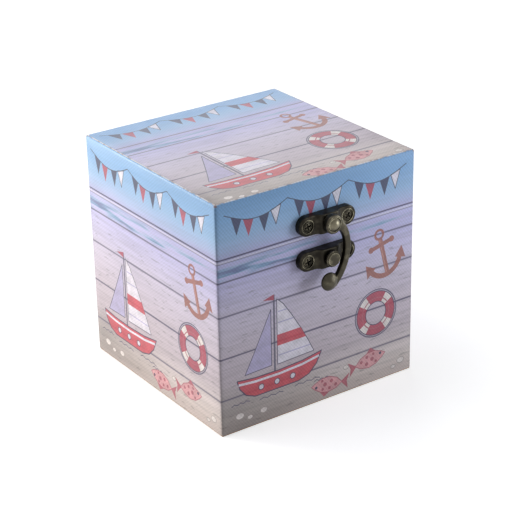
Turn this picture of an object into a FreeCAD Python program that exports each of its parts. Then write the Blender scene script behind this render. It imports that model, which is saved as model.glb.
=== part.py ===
import FreeCAD, Part
import math
import os
import re
import Sketcher

# A cube-shaped jack in the box: paper-covered boards, a sawn-off lid on two stop hinges, a swing-hook
# latch on the front, and inside a spring in a cloth sleeve that carries a clown's head.
# The origin is the middle of the base, +Z is up and the latch faces -Y.

os.makedirs("parts", exist_ok=True)
doc = FreeCAD.newDocument("jack_in_the_box")

# Driving sizes in millimetres and degrees
SIZES = [
    ("box_width", 100.0, "outside width over the paper"),
    ("box_depth", 100.0, "outside depth over the paper"),
    ("body_height", 79.2, "height of the box up to its rim"),
    ("lid_gap", 0.2, "saw gap between rim and lid"),
    ("lid_height", 23.6, "outside height of the lid"),
    ("wall", 5.6, "thickness of the wall boards"),
    ("base_thick", 5.0, "thickness of the base board"),
    ("lid_top_thick", 5.6, "thickness of the lid's top board"),
    ("paper", 0.4, "thickness of the paper cover"),
    ("paper_edge", 0.9, "rounding of the covered corners"),
    ("paper_lift", 0.6, "height of the paper's lower edge above the ground"),
    ("latch_offset", 2.4, "latch to the right of the middle"),
    ("plate_length", 28.5, "length of a latch plate"),
    ("plate_height", 8.6, "height of a latch plate"),
    ("plate_depth", 3.0, "thickness of a latch plate at its screws"),
    ("plate_sheet", 0.9, "metal left over the hollow of a latch plate"),
    ("plate_round", 0.6, "rounding of a latch plate's front edge"),
    ("bridge_length", 13.5, "length of the raised middle at its foot"),
    ("bridge_top_length", 6.2, "length of the raised middle at its top"),
    ("bridge_rise", 1.8, "rise of the middle above the lobes"),
    ("latch_screw_gap", 20.2, "spacing of a latch plate's two screws"),
    ("step_radius", 2.8, "round step that a latch screw sits in"),
    ("step_depth", 0.5, "depth of that step"),
    ("hook_plate_rise", 4.5, "middle of the hook's plate above the lid's lower edge"),
    ("catch_plate_drop", 10.8, "middle of the catch plate below the rim"),
    ("rivet_radius", 1.5, "shank of the rivets"),
    ("rivet_tail_radius", 2.2, "clenched tail of the rivets"),
    ("rivet_tail_thick", 0.6, "thickness of the clenched tail"),
    ("tail_room", 0.3, "room round the clenched tail"),
    ("rivet_head_radius", 2.8, "domed head over the hook's eye"),
    ("rivet_head_rise", 1.5, "rise of that dome"),
    ("stud_neck_radius", 1.8, "neck that the hook catches"),
    ("stud_neck", 1.2, "length of that neck"),
    ("stud_head_radius", 3.4, "head of the catch stud"),
    ("stud_head_thick", 1.5, "thickness of that head"),
    ("stud_bevel", 0.7, "bevel round that head"),
    ("hook_thick", 2.6, "thickness of the hook"),
    ("hook_play", 0.2, "play before and behind the hook"),
    ("eye_radius", 4.1, "eye of the hook"),
    ("eye_seat", 2.95, "dish in the eye that the rivet's head sits in"),
    ("eye_dish", 0.35, "depth of that dish"),
    ("arm_width", 2.7, "width of the hook's arm"),
    ("arm_reach", 8.4, "widest point of the arm to the right of the pivot"),
    ("arm_drop", 10.5, "that point below the pivot"),
    ("bow_outside", 17.5, "outer edge of the arm above that point"),
    ("bow_inside", 10.5, "inner edge of the arm above that point"),
    ("bow_outer_angle", 44.0, "slope at which the outer edge leaves the eye"),
    ("bow_inner_angle", 47.0, "slope at which the inner edge leaves the eye"),
    ("tail_bend", 23.5, "outer edge of the arm below its widest point"),
    ("tail_angle", 48.0, "turn of the arm from its widest point to its end"),
    ("knob_radius", 4.0, "finger knob of the hook"),
    ("knob_swell", 2.3, "half thickness of the finger knob"),
    ("knob_rim", 1.0, "rounding of the finger knob's rim"),
    ("knob_set", 1.0, "middle of the knob inside the arm's inner edge"),
    ("hook_round", 0.6, "rounding of the hook's edges"),
    ("turn_fit", 0.05, "radial play on pins and rivets"),
    ("screw_radius", 0.9, "shank of the screws"),
    ("screw_fit", 0.03, "play round a screw's shank"),
    ("screw_back", 0.8, "wood left beyond a screw's tip"),
    ("latch_head_radius", 2.2, "countersunk head of a latch screw"),
    ("latch_head_thick", 1.4, "depth of that head"),
    ("hinge_head_radius", 1.7, "round head of a hinge screw"),
    ("hinge_head_thick", 0.8, "rise of that head"),
    ("hinge_inset", 24.0, "middle of a hinge from the side of the box"),
    ("leaf_length", 20.0, "length of a hinge leaf along its barrel"),
    ("leaf_height", 13.0, "reach of a hinge leaf from its axis"),
    ("leaf_thick", 0.9, "thickness of a hinge leaf"),
    ("barrel_length", 16.0, "length of a hinge barrel"),
    ("knuckle_radius", 1.9, "outside of a knuckle"),
    ("knuckle_play", 0.15, "gap between knuckles and round the barrel"),
    ("pin_radius", 1.0, "hinge pin"),
    ("leaf_screw_gap", 11.0, "spacing of a leaf's two screws"),
    ("leaf_screw_reach", 8.6, "those screws from the hinge axis"),
    ("ear_thick", 0.9, "thickness of a stop ear"),
    ("ear_start", 0.8, "near edge of a stop ear from the axis"),
    ("ear_reach", 3.8, "far edge of a stop ear from the axis"),
    ("ear_angle", 31.5, "slope of a stop ear's edge from its leaf"),
    ("wire", 2.2, "spring wire"),
    ("coil_radius", 21.0, "mean radius of the spring"),
    ("coil_pitch", 5.0, "rise of one turn of the pressed-down spring"),
    ("seat_fit", 0.15, "play between a coil and the boss inside it"),
    ("seat_height", 5.0, "boss that holds the spring's lowest turn"),
    ("disc_radius", 25.0, "top disc on the spring"),
    ("disc_thick", 4.0, "thickness of the top disc"),
    ("disc_boss", 3.0, "boss of the top disc inside the spring's last turn"),
    ("sleeve_cloth", 0.8, "thickness of the gathered cloth sleeve"),
    ("sleeve_bulge", 6.0, "bulge of the gathered cloth sleeve"),
    ("neck_radius", 6.0, "dowel through the ruff into the head"),
    ("neck_rise", 9.0, "reach of the dowel inside the head"),
    ("ruff_radius", 33.0, "outside of the ruff"),
    ("ruff_thick", 5.0, "ruff at the neck"),
    ("ruff_rim", 2.0, "ruff at its rim"),
    ("head_radius", 19.5, "clown's head"),
    ("head_flat", 10.0, "radius of the flat under the head"),
    ("nose_radius", 4.2, "nose"),
    ("tuft_radius", 6.5, "hair tufts beside the head"),
    ("hat_radius", 15.0, "hat where it meets the head"),
    ("hat_tip", 3.0, "hat at its tip"),
    ("hat_height", 20.0, "hat from its brim to its tip"),
    ("brim_roll", 1.8, "rolled brim"),
    ("pompom_radius", 4.2, "pompom on the hat"),
    ("jack_play", 1.2, "room between pompom and lid"),
]

# Places that follow from the sizes
PLACES = [
    ("front_face", "-box_depth / 2"),
    ("back_face", "box_depth / 2"),
    ("wood_width", "box_width - 2 * paper"),
    ("wood_depth", "box_depth - 2 * paper"),
    ("inner_width", "wood_width - 2 * wall"),
    ("inner_depth", "wood_depth - 2 * wall"),
    ("lid_bottom", "body_height + lid_gap"),
    ("lid_top", "lid_bottom + lid_height"),
    ("lid_ceiling", "lid_top - paper - lid_top_thick"),
    ("hook_plate_z", "lid_bottom + hook_plate_rise"),
    ("catch_plate_z", "body_height - catch_plate_drop"),
    ("bridge_top", "plate_depth + bridge_rise"),
    ("hook_back", "bridge_top + hook_play"),
    ("hook_front", "hook_back + hook_thick"),
    ("rivet_seat", "hook_front - eye_dish + hook_play"),
    ("stud_seat", "bridge_top + stud_neck"),
    ("screw_seat", "plate_depth - step_depth"),
    ("tail_x", "arm_reach - tail_bend"),
    ("screw_sink", "wall + paper - screw_back"),
    ("hinge_x", "box_width / 2 - hinge_inset"),
    ("hinge_y", "back_face + knuckle_radius + knuckle_play"),
    ("hinge_z", "body_height + lid_gap / 2"),
    ("pompom_z", "lid_ceiling - jack_play - pompom_radius"),
    ("hat_tip_z", "pompom_z - sqrt(pompom_radius ^ 2 - hat_tip ^ 2)"),
    ("brim_z", "hat_tip_z - hat_height"),
    ("head_z", "brim_z - sqrt(head_radius ^ 2 - hat_radius ^ 2)"),
    ("head_foot", "head_z - sqrt(head_radius ^ 2 - head_flat ^ 2)"),
    ("disc_top", "head_foot - ruff_thick"),
    ("disc_bottom", "disc_top - disc_thick"),
    ("boss_radius", "coil_radius - wire / 2 - seat_fit"),
    ("wire_half", "wire / 2 * cos(30)"),
]


def fill_sheet(name, rows):
    """Make a spreadsheet with one named value to a row."""
    sheet = doc.addObject("Spreadsheet::Sheet", name)
    for number, (alias, content, meaning) in enumerate(rows, start=1):
        sheet.set(f"A{number}", meaning)
        sheet.set(f"B{number}", content)
        sheet.setAlias(f"B{number}", alias)
    doc.recompute()
    return sheet


HOME = {alias: f"Sizes.{alias}" for alias, value, meaning in SIZES}
HOME.update({alias: f"Places.{alias}" for alias, formula in PLACES})


def full(text):
    """Write an expression's names out with the sheets they belong to."""
    return re.sub(r"[a-z_]+", lambda word: HOME.get(word.group(), word.group()), str(text))


sizes = fill_sheet("Sizes", [(alias, str(value), meaning) for alias, value, meaning in SIZES])
places = fill_sheet("Places", [(alias, "=" + full(formula), formula) for alias, formula in PLACES])


def value(text):
    """Work an expression out to a plain number."""
    return float(places.evalExpression(full(text)))


# Directions that a piece's own +Z axis can be turned to
UP = FreeCAD.Vector(0, 0, 1)
FRONT = FreeCAD.Vector(0, -1, 0)
BACK = FreeCAD.Vector(0, 1, 0)
RIGHT = FreeCAD.Vector(1, 0, 0)


def place(thing, x, y, z, facing=UP):
    """Bind a thing's place to expressions and turn its own +Z axis to face a direction."""
    thing.Placement = FreeCAD.Placement(FreeCAD.Vector(), FreeCAD.Rotation(UP, facing))
    for axis, text in zip("xyz", (x, y, z)):
        thing.setExpression(f"Placement.Base.{axis}", full(text))
    return thing


def bind(thing, **settings):
    """Bind properties to expressions."""
    for name, text in settings.items():
        thing.setExpression(name, full(text))
    return thing


def block(name, length, width, height, x, y, z):
    """A box with its middle at x and y and its underside at z."""
    solid = doc.addObject("Part::Box", name)
    bind(solid, Length=length, Width=width, Height=height)
    return place(solid, f"({x}) - ({length}) / 2", f"({y}) - ({width}) / 2", z)


def rod(name, radius, height, x, y, z, facing=UP):
    """A cylinder that starts at a point and runs the way it faces."""
    solid = doc.addObject("Part::Cylinder", name)
    bind(solid, Radius=radius, Height=height)
    return place(solid, x, y, z, facing)


def ball(name, radius, x, y, z):
    """A sphere."""
    solid = doc.addObject("Part::Sphere", name)
    bind(solid, Radius=radius)
    return place(solid, x, y, z)


def group(name, pieces):
    """Separate solids kept together."""
    whole = doc.addObject("Part::Compound", name)
    whole.Links = pieces
    return whole


def fuse(name, pieces):
    """Solids joined to one."""
    whole = doc.addObject("Part::MultiFuse", name)
    whole.Shapes = pieces
    return whole


def cut(name, base, tools):
    """A solid with others taken away from it."""
    result = doc.addObject("Part::Cut", name)
    result.Base = base
    result.Tool = tools[0] if len(tools) == 1 else fuse(name + "_tools", tools)
    return result


def new_body(name, x, y, z, facing=UP):
    """A body of features at a place."""
    return place(doc.addObject("PartDesign::Body", name), x, y, z, facing)


def new_sketch(body, name, role="XY_Plane", lift="0"):
    """A sketch on one of a body's own planes, lifted along that plane's normal."""
    sketch = body.newObject("Sketcher::SketchObject", name)
    plane = [feature for feature in body.Origin.OriginFeatures if feature.Role == role][0]
    sketch.AttachmentSupport = [(plane, "")]
    sketch.MapMode = "FlatFace"
    sketch.setExpression("AttachmentOffset.Base.z", full(lift))
    return sketch


def dimension(sketch, constraint, text):
    """Add a constraint whose value is an expression."""
    number = sketch.addConstraint(constraint)
    sketch.setExpression(f"Constraints[{number}]", full(text))


def pin_point(sketch, element, end, x, y):
    """Fix a sketch point at two expressions, or on an axis where one of them is zero."""
    for kind, text, axis in (("DistanceX", x, -2), ("DistanceY", y, -1)):
        if value(text) == 0:
            sketch.addConstraint(Sketcher.Constraint("PointOnObject", element, end, axis))
        else:
            dimension(sketch, Sketcher.Constraint(kind, -1, 1, element, end, value(text)), text)


def draw_circle(sketch, x, y, radius):
    """Draw a full circle."""
    middle = FreeCAD.Vector(value(x), value(y), 0)
    number = sketch.addGeometry(Part.Circle(middle, UP, value(radius)), False)
    pin_point(sketch, number, 3, x, y)
    dimension(sketch, Sketcher.Constraint("Radius", number, value(radius)), radius)


def draw_outline(sketch, corners):
    """Draw a closed outline. A corner (x, y) starts a straight side and (x, y, radius) an arc, whose centre
    lies to the left of the way along it; a radius that starts with a minus puts the centre on the right."""
    spots = [FreeCAD.Vector(value(corner[0]), value(corner[1]), 0) for corner in corners]
    joints = []
    for number, corner in enumerate(corners):
        start, end = spots[number], spots[(number + 1) % len(spots)]
        if len(corner) == 2:
            element = sketch.addGeometry(Part.LineSegment(start, end), False)
            joints.append((element, 1, 2))
            continue
        to_left = not corner[2].startswith("-")
        size = corner[2].lstrip("-")
        radius = value(size)
        chord = end - start
        side = FreeCAD.Vector(-chord.y, chord.x, 0).normalize()
        away = math.sqrt(max(radius ** 2 - chord.Length ** 2 / 4, 0))
        middle = (start + end) * 0.5 + side * (away if to_left else -away)
        first, last = (start, end) if to_left else (end, start)
        angles = [math.atan2(spot.y - middle.y, spot.x - middle.x) for spot in (first, last)]
        circle = Part.Circle(middle, UP, radius)
        element = sketch.addGeometry(Part.ArcOfCircle(circle, *angles), False)
        joints.append((element, 1, 2) if to_left else (element, 2, 1))
        dimension(sketch, Sketcher.Constraint("Radius", element, radius), size)
    for number, (element, start, end) in enumerate(joints):
        before, unused, before_end = joints[number - 1]
        sketch.addConstraint(Sketcher.Constraint("Coincident", before, before_end, element, start))
        pin_point(sketch, element, start, corners[number][0], corners[number][1])


def draw_rectangle(sketch, width, height):
    """Draw a rectangle round the sketch's origin."""
    left, right = f"-({width}) / 2", f"({width}) / 2"
    low, high = f"-({height}) / 2", f"({height}) / 2"
    draw_outline(sketch, [(left, low), (right, low), (right, high), (left, high)])


def draw_slot(sketch, length, height):
    """Draw a rectangle with fully rounded ends round the sketch's origin."""
    left, right = f"-(({length}) - ({height})) / 2", f"(({length}) - ({height})) / 2"
    low, high = f"-({height}) / 2", f"({height}) / 2"
    radius = f"({height}) / 2"
    far_left, far_right = f"-({length}) / 2", f"({length}) / 2"
    draw_outline(sketch, [(left, low), (right, low, radius), (far_right, "0", radius), (right, high),
                          (left, high, radius), (far_left, "0", radius)])


def feature(body, kind, name, sketch, **settings):
    """Add a feature made from a sketch."""
    result = body.newObject(f"PartDesign::{kind}", name)
    result.Profile = sketch
    return bind(result, **settings)


def turned(name, corners, x="0", y="0", z="0", facing=UP):
    """A body turned from an outline of (radius, height) corners."""
    body = new_body(name, x, y, z, facing)
    sketch = new_sketch(body, name + "_outline", "XZ_Plane")
    draw_outline(sketch, corners)
    result = feature(body, "Revolution", name + "_turned", sketch)
    result.ReferenceAxis = (sketch, ["V_Axis"])
    result.Angle = 360
    return body


def edges_where(shape, test):
    """Names of the edges whose ends and middle all pass a test."""
    names = []
    for number, edge in enumerate(shape.Edges, start=1):
        first, last = edge.ParameterRange
        spots = [edge.valueAt(first + (last - first) * share) for share in (0, 0.5, 1)]
        if all(test(spot) for spot in spots):
            names.append(f"Edge{number}")
    return names


def near(one, other):
    """Whether two lengths are the same."""
    return abs(one - other) < 1e-4


kept = []


def keep(thing, node):
    """Name a finished piece after its node."""
    thing.Label = node
    kept.append(thing)
    return thing


SIDES = (("left", "-1"), ("right", "1"))


# Screws and the holes they go in
def screw(name, x, y, z, facing, head):
    """A screw whose head sits at its place and whose shank runs into the wood behind it."""
    inward = facing * -1
    shank = rod(name + "_shank", "screw_radius", f"screw_sink + {head['stand']}", x, y, z, inward)
    if head["sunk"]:
        top = doc.addObject("Part::Cone", name + "_head")
        bind(top, Radius1=head["radius"], Radius2="screw_radius", Height=head["thick"])
        place(top, x, y, z, inward)
    else:
        top = rod(name + "_head", head["radius"], head["thick"], x, y, z, facing)
    return fuse(name, [shank, top])


def screw_hole(name, x, y, z, facing, stand):
    """The hole of a screw's shank, with a little air beyond its tip."""
    length = f"screw_sink + {stand} + screw_fit"
    return rod(name, "screw_radius + screw_fit", length, x, y, z, facing * -1)


LATCH_HEAD = {"sunk": True, "radius": "latch_head_radius", "thick": "latch_head_thick",
              "stand": "screw_seat"}
HINGE_HEAD = {"sunk": False, "radius": "hinge_head_radius", "thick": "hinge_head_thick",
              "stand": "leaf_thick"}


def screw_set(name, spots, facing, head):
    """A group of like screws, and the tools that cut their holes."""
    screws = [screw(f"{name}_{n}", *spot, facing, head) for n, spot in enumerate(spots)]
    holes = [screw_hole(f"{name}_hole_{n}", *spot, facing, head["stand"]) for n, spot in enumerate(spots)]
    keep(group(name, screws), name)
    return holes


def latch_spots(z):
    """The two screws of a latch plate."""
    return [(f"latch_offset + {side} * latch_screw_gap / 2", "front_face - screw_seat", z)
            for label, side in SIDES]


def leaf_spots(upward):
    """The four screws of the two leaves on one side of the hinge axis."""
    return [(f"{side} * hinge_x + {end} * leaf_screw_gap / 2", "back_face + leaf_thick",
             f"hinge_z + {upward} * leaf_screw_reach") for label, side in SIDES for name, end in SIDES]


catch_holes = screw_set("catch_screws", latch_spots("catch_plate_z"), FRONT, LATCH_HEAD)
hook_plate_holes = screw_set("hook_plate_screws", latch_spots("hook_plate_z"), FRONT, LATCH_HEAD)
box_leaf_holes = screw_set("box_hinge_screws", leaf_spots("-1"), BACK, HINGE_HEAD)
lid_leaf_holes = screw_set("lid_hinge_screws", leaf_spots("1"), BACK, HINGE_HEAD)


# Boards of the box and of the lid
def ring_of_boards(prefix, bottom, height, front_holes, back_holes):
    """Front and back boards over the full width, and side boards between them."""
    across = "wood_depth / 2 - wall / 2"
    front = block(prefix + "_front_blank", "wood_width", "wall", height, "0", f"-({across})", bottom)
    back = block(prefix + "_back_blank", "wood_width", "wall", height, "0", across, bottom)
    keep(cut(prefix + "_front", front, front_holes), f"{prefix}_front")
    keep(cut(prefix + "_back", back, back_holes), f"{prefix}_back")
    for label, side in SIDES:
        x = f"{side} * (wood_width - wall) / 2"
        keep(block(f"{prefix}_{label}", "wall", "inner_depth", height, x, "0", bottom), f"{prefix}_{label}")


def paper_cover(name, bottom, height, ceiling, holes):
    """Paper round the boards, with a sheet over the top where there is a ceiling."""
    outside = block(name + "_outside", "box_width", "box_depth", height, "0", "0", bottom)
    doc.recompute()
    rounded = doc.addObject("Part::Fillet", name + "_rounded")
    rounded.Base = outside
    top = value(f"({bottom}) + ({height})")
    upright = edges_where(outside.Shape, lambda spot: near(abs(spot.x), value("box_width / 2"))
                          and near(abs(spot.y), value("box_depth / 2")))
    level = edges_where(outside.Shape, lambda spot: near(spot.z, top)) if ceiling else []
    radius = value("paper_edge")
    rounded.Edges = [(int(edge[4:]), radius, radius) for edge in upright + level]
    filling = block(name + "_filling", "wood_width", "wood_depth", f"({height}) - ({ceiling or 0})",
                    "0", "0", bottom)
    keep(cut(name, rounded, [filling] + holes), name)


base = block("base_board", "inner_width", "inner_depth", "base_thick", "0", "0", "0")
keep(base, "base_board")
ring_of_boards("box_wall", "0", "body_height", catch_holes, box_leaf_holes)
ring_of_boards("lid_rail", "lid_bottom", "lid_ceiling - lid_bottom", hook_plate_holes, lid_leaf_holes)
lid_board = block("lid_top_board", "wood_width", "wood_depth", "lid_top_thick", "0", "0", "lid_ceiling")
keep(lid_board, "lid_top_board")
paper_cover("box_paper", "paper_lift", "body_height - paper_lift", None, catch_holes + box_leaf_holes)
paper_cover("lid_paper", "lid_bottom", "lid_height", "paper", hook_plate_holes + lid_leaf_holes)


# Latch plates, the catch stud and the hook's rivet
SLOPE_RUN = "(bridge_length - bridge_top_length) / 2"
SLOPE_BEND = f"(({SLOPE_RUN}) ^ 2 + bridge_rise ^ 2) / (4 * bridge_rise)"


def latch_plate(name, z):
    """A cast plate: a screw lobe at each end, and a middle that rises in soft slopes and is hollow behind."""
    body = new_body(name, "latch_offset", "front_face", z)
    outline = new_sketch(body, name + "_outline", "XZ_Plane")
    draw_slot(outline, "plate_length", "plate_height")
    feature(body, "Pad", name + "_blank", outline, Length="bridge_top")
    slope = new_sketch(body, name + "_slope", "XY_Plane")
    clear = "-bridge_top - plate_round"
    for side, sign, against in (("1", "", "-"), ("-1", "-", "")):
        far = f"{side} * (plate_length / 2 + plate_round)"
        foot, top = f"{side} * bridge_length / 2", f"{side} * bridge_top_length / 2"
        halfway = f"{side} * (bridge_length + bridge_top_length) / 4"
        draw_outline(slope, [(foot, "-plate_depth"), (far, "-plate_depth"), (far, clear), (top, clear),
                             (top, "-bridge_top", f"{sign}({SLOPE_BEND})"),
                             (halfway, "-(plate_depth + bridge_top) / 2", f"{against}({SLOPE_BEND})")])
    lobes = feature(body, "Pocket", name + "_lobes", slope, Length="plate_height + plate_round")
    lobes.Midplane = True
    steps = new_sketch(body, name + "_steps", "XZ_Plane", "screw_seat")
    for label, side in SIDES:
        draw_circle(steps, f"{side} * latch_screw_gap / 2", "0", "step_radius")
    rooms = feature(body, "Pocket", name + "_step_cut", steps, Length="step_depth")
    rooms.Reversed = True
    hollow = new_sketch(body, name + "_hollow", "XZ_Plane")
    draw_circle(hollow, "0", "0", "rivet_tail_radius + tail_room")
    pit = feature(body, "Pocket", name + "_hollow_cut", hollow, Length="bridge_top - plate_sheet")
    pit.Reversed = True
    hole = new_sketch(body, name + "_rivet_hole", "XZ_Plane")
    draw_circle(hole, "0", "0", "rivet_radius + screw_fit")
    bore = feature(body, "Pocket", name + "_rivet_cut", hole, Length="bridge_top + hook_play")
    bore.Reversed = True
    for label, side in SIDES:
        sink = body.newObject("PartDesign::SubtractiveCone", f"{name}_{label}_sink")
        bind(sink, Radius1="latch_head_radius + screw_fit", Radius2="screw_radius + screw_fit",
             Height="latch_head_thick + screw_fit")
        place(sink, f"{side} * latch_screw_gap / 2", "-screw_seat", "0", BACK)
        shaft = body.newObject("PartDesign::SubtractiveCylinder", f"{name}_{label}_shaft")
        bind(shaft, Radius="screw_radius + screw_fit", Height="screw_seat")
        place(shaft, f"{side} * latch_screw_gap / 2", "-screw_seat", "0", BACK)
    doc.recompute()
    lobe_x, lobe_radius = value("(plate_length - plate_height) / 2"), value("plate_height / 2")

    def on_front_edge(spot):
        from_middle = math.hypot(max(abs(spot.x) - lobe_x, 0), spot.z)
        return spot.y < -value("screw_seat") and near(from_middle, lobe_radius)

    rounding = body.newObject("PartDesign::Fillet", name + "_rounding")
    rounding.Base = (shaft, edges_where(shaft.Shape, on_front_edge))
    bind(rounding, Radius="plate_round")
    return keep(body, name)


RIVET_TAIL = [("0", "bridge_top - plate_sheet - rivet_tail_thick"),
              ("rivet_tail_radius", "bridge_top - plate_sheet - rivet_tail_thick"),
              ("rivet_tail_radius", "bridge_top - plate_sheet"),
              ("rivet_radius", "bridge_top - plate_sheet")]
STUD_HEAD = [("rivet_radius", "bridge_top"), ("stud_neck_radius", "bridge_top"),
             ("stud_neck_radius", "stud_seat"), ("stud_head_radius", "stud_seat"),
             ("stud_head_radius", "stud_seat + stud_head_thick - stud_bevel"),
             ("stud_head_radius - stud_bevel", "stud_seat + stud_head_thick"),
             ("0", "stud_seat + stud_head_thick")]
DOME_RADIUS = "(rivet_head_radius ^ 2 + rivet_head_rise ^ 2) / (2 * rivet_head_rise)"
RIVET_HEAD = [("rivet_radius", "rivet_seat"), ("rivet_head_radius", "rivet_seat", DOME_RADIUS),
              ("0", "rivet_seat + rivet_head_rise")]

latch_plate("catch_plate", "catch_plate_z")
latch_plate("hook_plate", "hook_plate_z")
keep(turned("catch_stud", RIVET_TAIL + STUD_HEAD, "latch_offset", "front_face", "catch_plate_z", FRONT),
     "catch_stud")
keep(turned("hook_rivet", RIVET_TAIL + RIVET_HEAD, "latch_offset", "front_face", "hook_plate_z", FRONT),
     "hook_rivet")


# The swing hook: a dished eye, an arm that bows out to its widest point and back, and a finger knob
def bow_point(edge, radius, angle):
    """A point of the arm whose outline bends about a centre to the left of an edge at its widest point."""
    return (f"{edge} - ({radius}) * (1 - cos({angle}))", f"({radius}) * sin({angle}) - arm_drop")


KNOB_RIM_X = "(knob_radius - knob_rim)"
KNOB_CAP = f"({KNOB_RIM_X} ^ 2 + knob_swell ^ 2 - knob_rim ^ 2) / (2 * (knob_swell - knob_rim))"
CAP_EDGE_X = f"{KNOB_RIM_X} * ({KNOB_CAP}) / (({KNOB_CAP}) - knob_rim)"
CAP_EDGE_Z = f"(({KNOB_CAP}) - knob_swell) * knob_rim / (({KNOB_CAP}) - knob_rim)"
KNOB = [("0", "-knob_swell", KNOB_CAP), (CAP_EDGE_X, f"-({CAP_EDGE_Z})", "knob_rim"),
        (CAP_EDGE_X, CAP_EDGE_Z, KNOB_CAP), ("0", "knob_swell")]


def swing_hook():
    """The hook in the pose of the closed latch."""
    body = new_body("hook_bow", "latch_offset", "front_face", "hook_plate_z")
    arm = new_sketch(body, "hook_arm", "XZ_Plane", "hook_back")
    inside, tail_inside = "(arm_reach - arm_width)", "tail_bend - arm_width"
    draw_outline(arm, [bow_point(inside, "bow_inside", "bow_inner_angle"),
                       (*bow_point("arm_reach", "bow_outside", "bow_outer_angle"), "-(bow_outside)"),
                       ("arm_reach", "-arm_drop", "-(tail_bend)"),
                       bow_point("arm_reach", "tail_bend", "-tail_angle"),
                       (*bow_point(inside, tail_inside, "-tail_angle"), tail_inside),
                       (inside, "-arm_drop", "bow_inside")])
    bow = feature(body, "Pad", "hook_arm_bow", arm, Length="hook_thick")
    doc.recompute()
    rounding = body.newObject("PartDesign::Fillet", "hook_rounding")
    rounding.Base = (bow, [f"Edge{number}" for number, edge in enumerate(bow.Shape.Edges, start=1)
                           if isinstance(edge.Curve, Part.Circle)])
    bind(rounding, Radius="hook_round")
    eye = new_sketch(body, "hook_eye", "YZ_Plane")
    draw_outline(eye, [("-hook_back", "0"), ("eye_dish - hook_front", "0"),
                       ("eye_dish - hook_front", "eye_seat"), ("-hook_front", "eye_seat + eye_dish / 2"),
                       ("-hook_front", "eye_radius - hook_round", "-hook_round"),
                       ("hook_round - hook_front", "eye_radius"), ("-hook_back", "eye_radius")])
    disc = feature(body, "Revolution", "hook_eye_disc", eye)
    disc.ReferenceAxis = (eye, ["H_Axis"])
    disc.Angle = 360
    hole = new_sketch(body, "hook_pivot_hole", "XZ_Plane")
    draw_circle(hole, "0", "0", "rivet_radius + turn_fit")
    bore = feature(body, "Pocket", "hook_pivot_cut", hole, Length="hook_front + hook_play")
    bore.Reversed = True
    knob_bend = f"({tail_inside} - knob_set)"
    knob = turned("hook_knob", KNOB, f"latch_offset + tail_x + {knob_bend} * cos(tail_angle)",
                  "front_face - (hook_back + hook_front) / 2",
                  f"hook_plate_z - {knob_bend} * sin(tail_angle) - arm_drop", FRONT)
    return keep(fuse("latch_hook", [body, knob]), "latch_hook")


swing_hook()


# Stop hinges on the back: a middle knuckle on the box, two outer ones on the lid, and ears that meet
# when the lid stands open
KNUCKLE = "(barrel_length - 2 * knuckle_play) / 3"
OUTER_KNUCKLES = ("-barrel_length / 2", f"barrel_length / 2 - {KNUCKLE}")
MIDDLE_KNUCKLE = (f"-{KNUCKLE} / 2",)


def stop_ear(name, x, upward):
    """A gusset beside the barrel, with its sloping edge aimed at the hinge axis."""
    body = new_body(name, x, "hinge_y", "hinge_z")
    sketch = new_sketch(body, name + "_outline", "YZ_Plane")
    back = "back_face - hinge_y"
    low, high = f"{upward} * ear_start", f"{upward} * ear_reach"
    draw_outline(sketch, [(back, low), (back, high), ("ear_reach * tan(ear_angle)", high),
                          ("ear_start * tan(ear_angle)", low)])
    feature(body, "Pad", name + "_sheet", sketch, Length="ear_thick")
    return body


def hinge_leaf(node, middle, upward, knuckles, holes):
    """One leaf: its plate, its share of the knuckles and its stop ears."""
    gap = "knuckle_radius + knuckle_play"
    plate_height = f"leaf_height - ({gap})"
    plate_low = f"hinge_z + {gap}" if upward == "1" else "hinge_z - leaf_height"
    leaf_y = "back_face + leaf_thick / 2"
    pieces = [block(node + "_plate", "leaf_length", "leaf_thick", plate_height, middle, leaf_y, plate_low)]
    for n, start in enumerate(knuckles):
        x = f"{middle} + {start}"
        pieces.append(rod(f"{node}_knuckle_{n}", "knuckle_radius", KNUCKLE, x, "hinge_y", "hinge_z", RIGHT))
        leg_low = "hinge_z" if upward == "1" else f"hinge_z - ({gap})"
        leg_x = f"{x} + {KNUCKLE} / 2"
        pieces.append(block(f"{node}_leg_{n}", KNUCKLE, "leaf_thick", gap, leg_x, leaf_y, leg_low))
    for label, x in (("a", f"{middle} - leaf_length / 2"), ("b", f"{middle} + leaf_length / 2 - ear_thick")):
        pieces.append(stop_ear(f"{node}_ear_{label}", x, upward))
    bore = rod(node + "_bore", "pin_radius + turn_fit", "leaf_length", f"{middle} - leaf_length / 2",
               "hinge_y", "hinge_z", RIGHT)
    return keep(cut(node, fuse(node + "_blank", pieces), [bore] + holes), node)


for number, (label, side) in enumerate(SIDES):
    middle = f"{side} * hinge_x"
    own = slice(2 * number, 2 * number + 2)
    hinge_leaf(f"hinge_{label}_box_leaf", middle, "-1", MIDDLE_KNUCKLE, box_leaf_holes[own])
    hinge_leaf(f"hinge_{label}_lid_leaf", middle, "1", OUTER_KNUCKLES, lid_leaf_holes[own])
    pin = rod(f"hinge_{label}_pin", "pin_radius", "barrel_length", f"{middle} - barrel_length / 2",
              "hinge_y", "hinge_z", RIGHT)
    keep(pin, f"hinge_{label}_pin")


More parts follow.
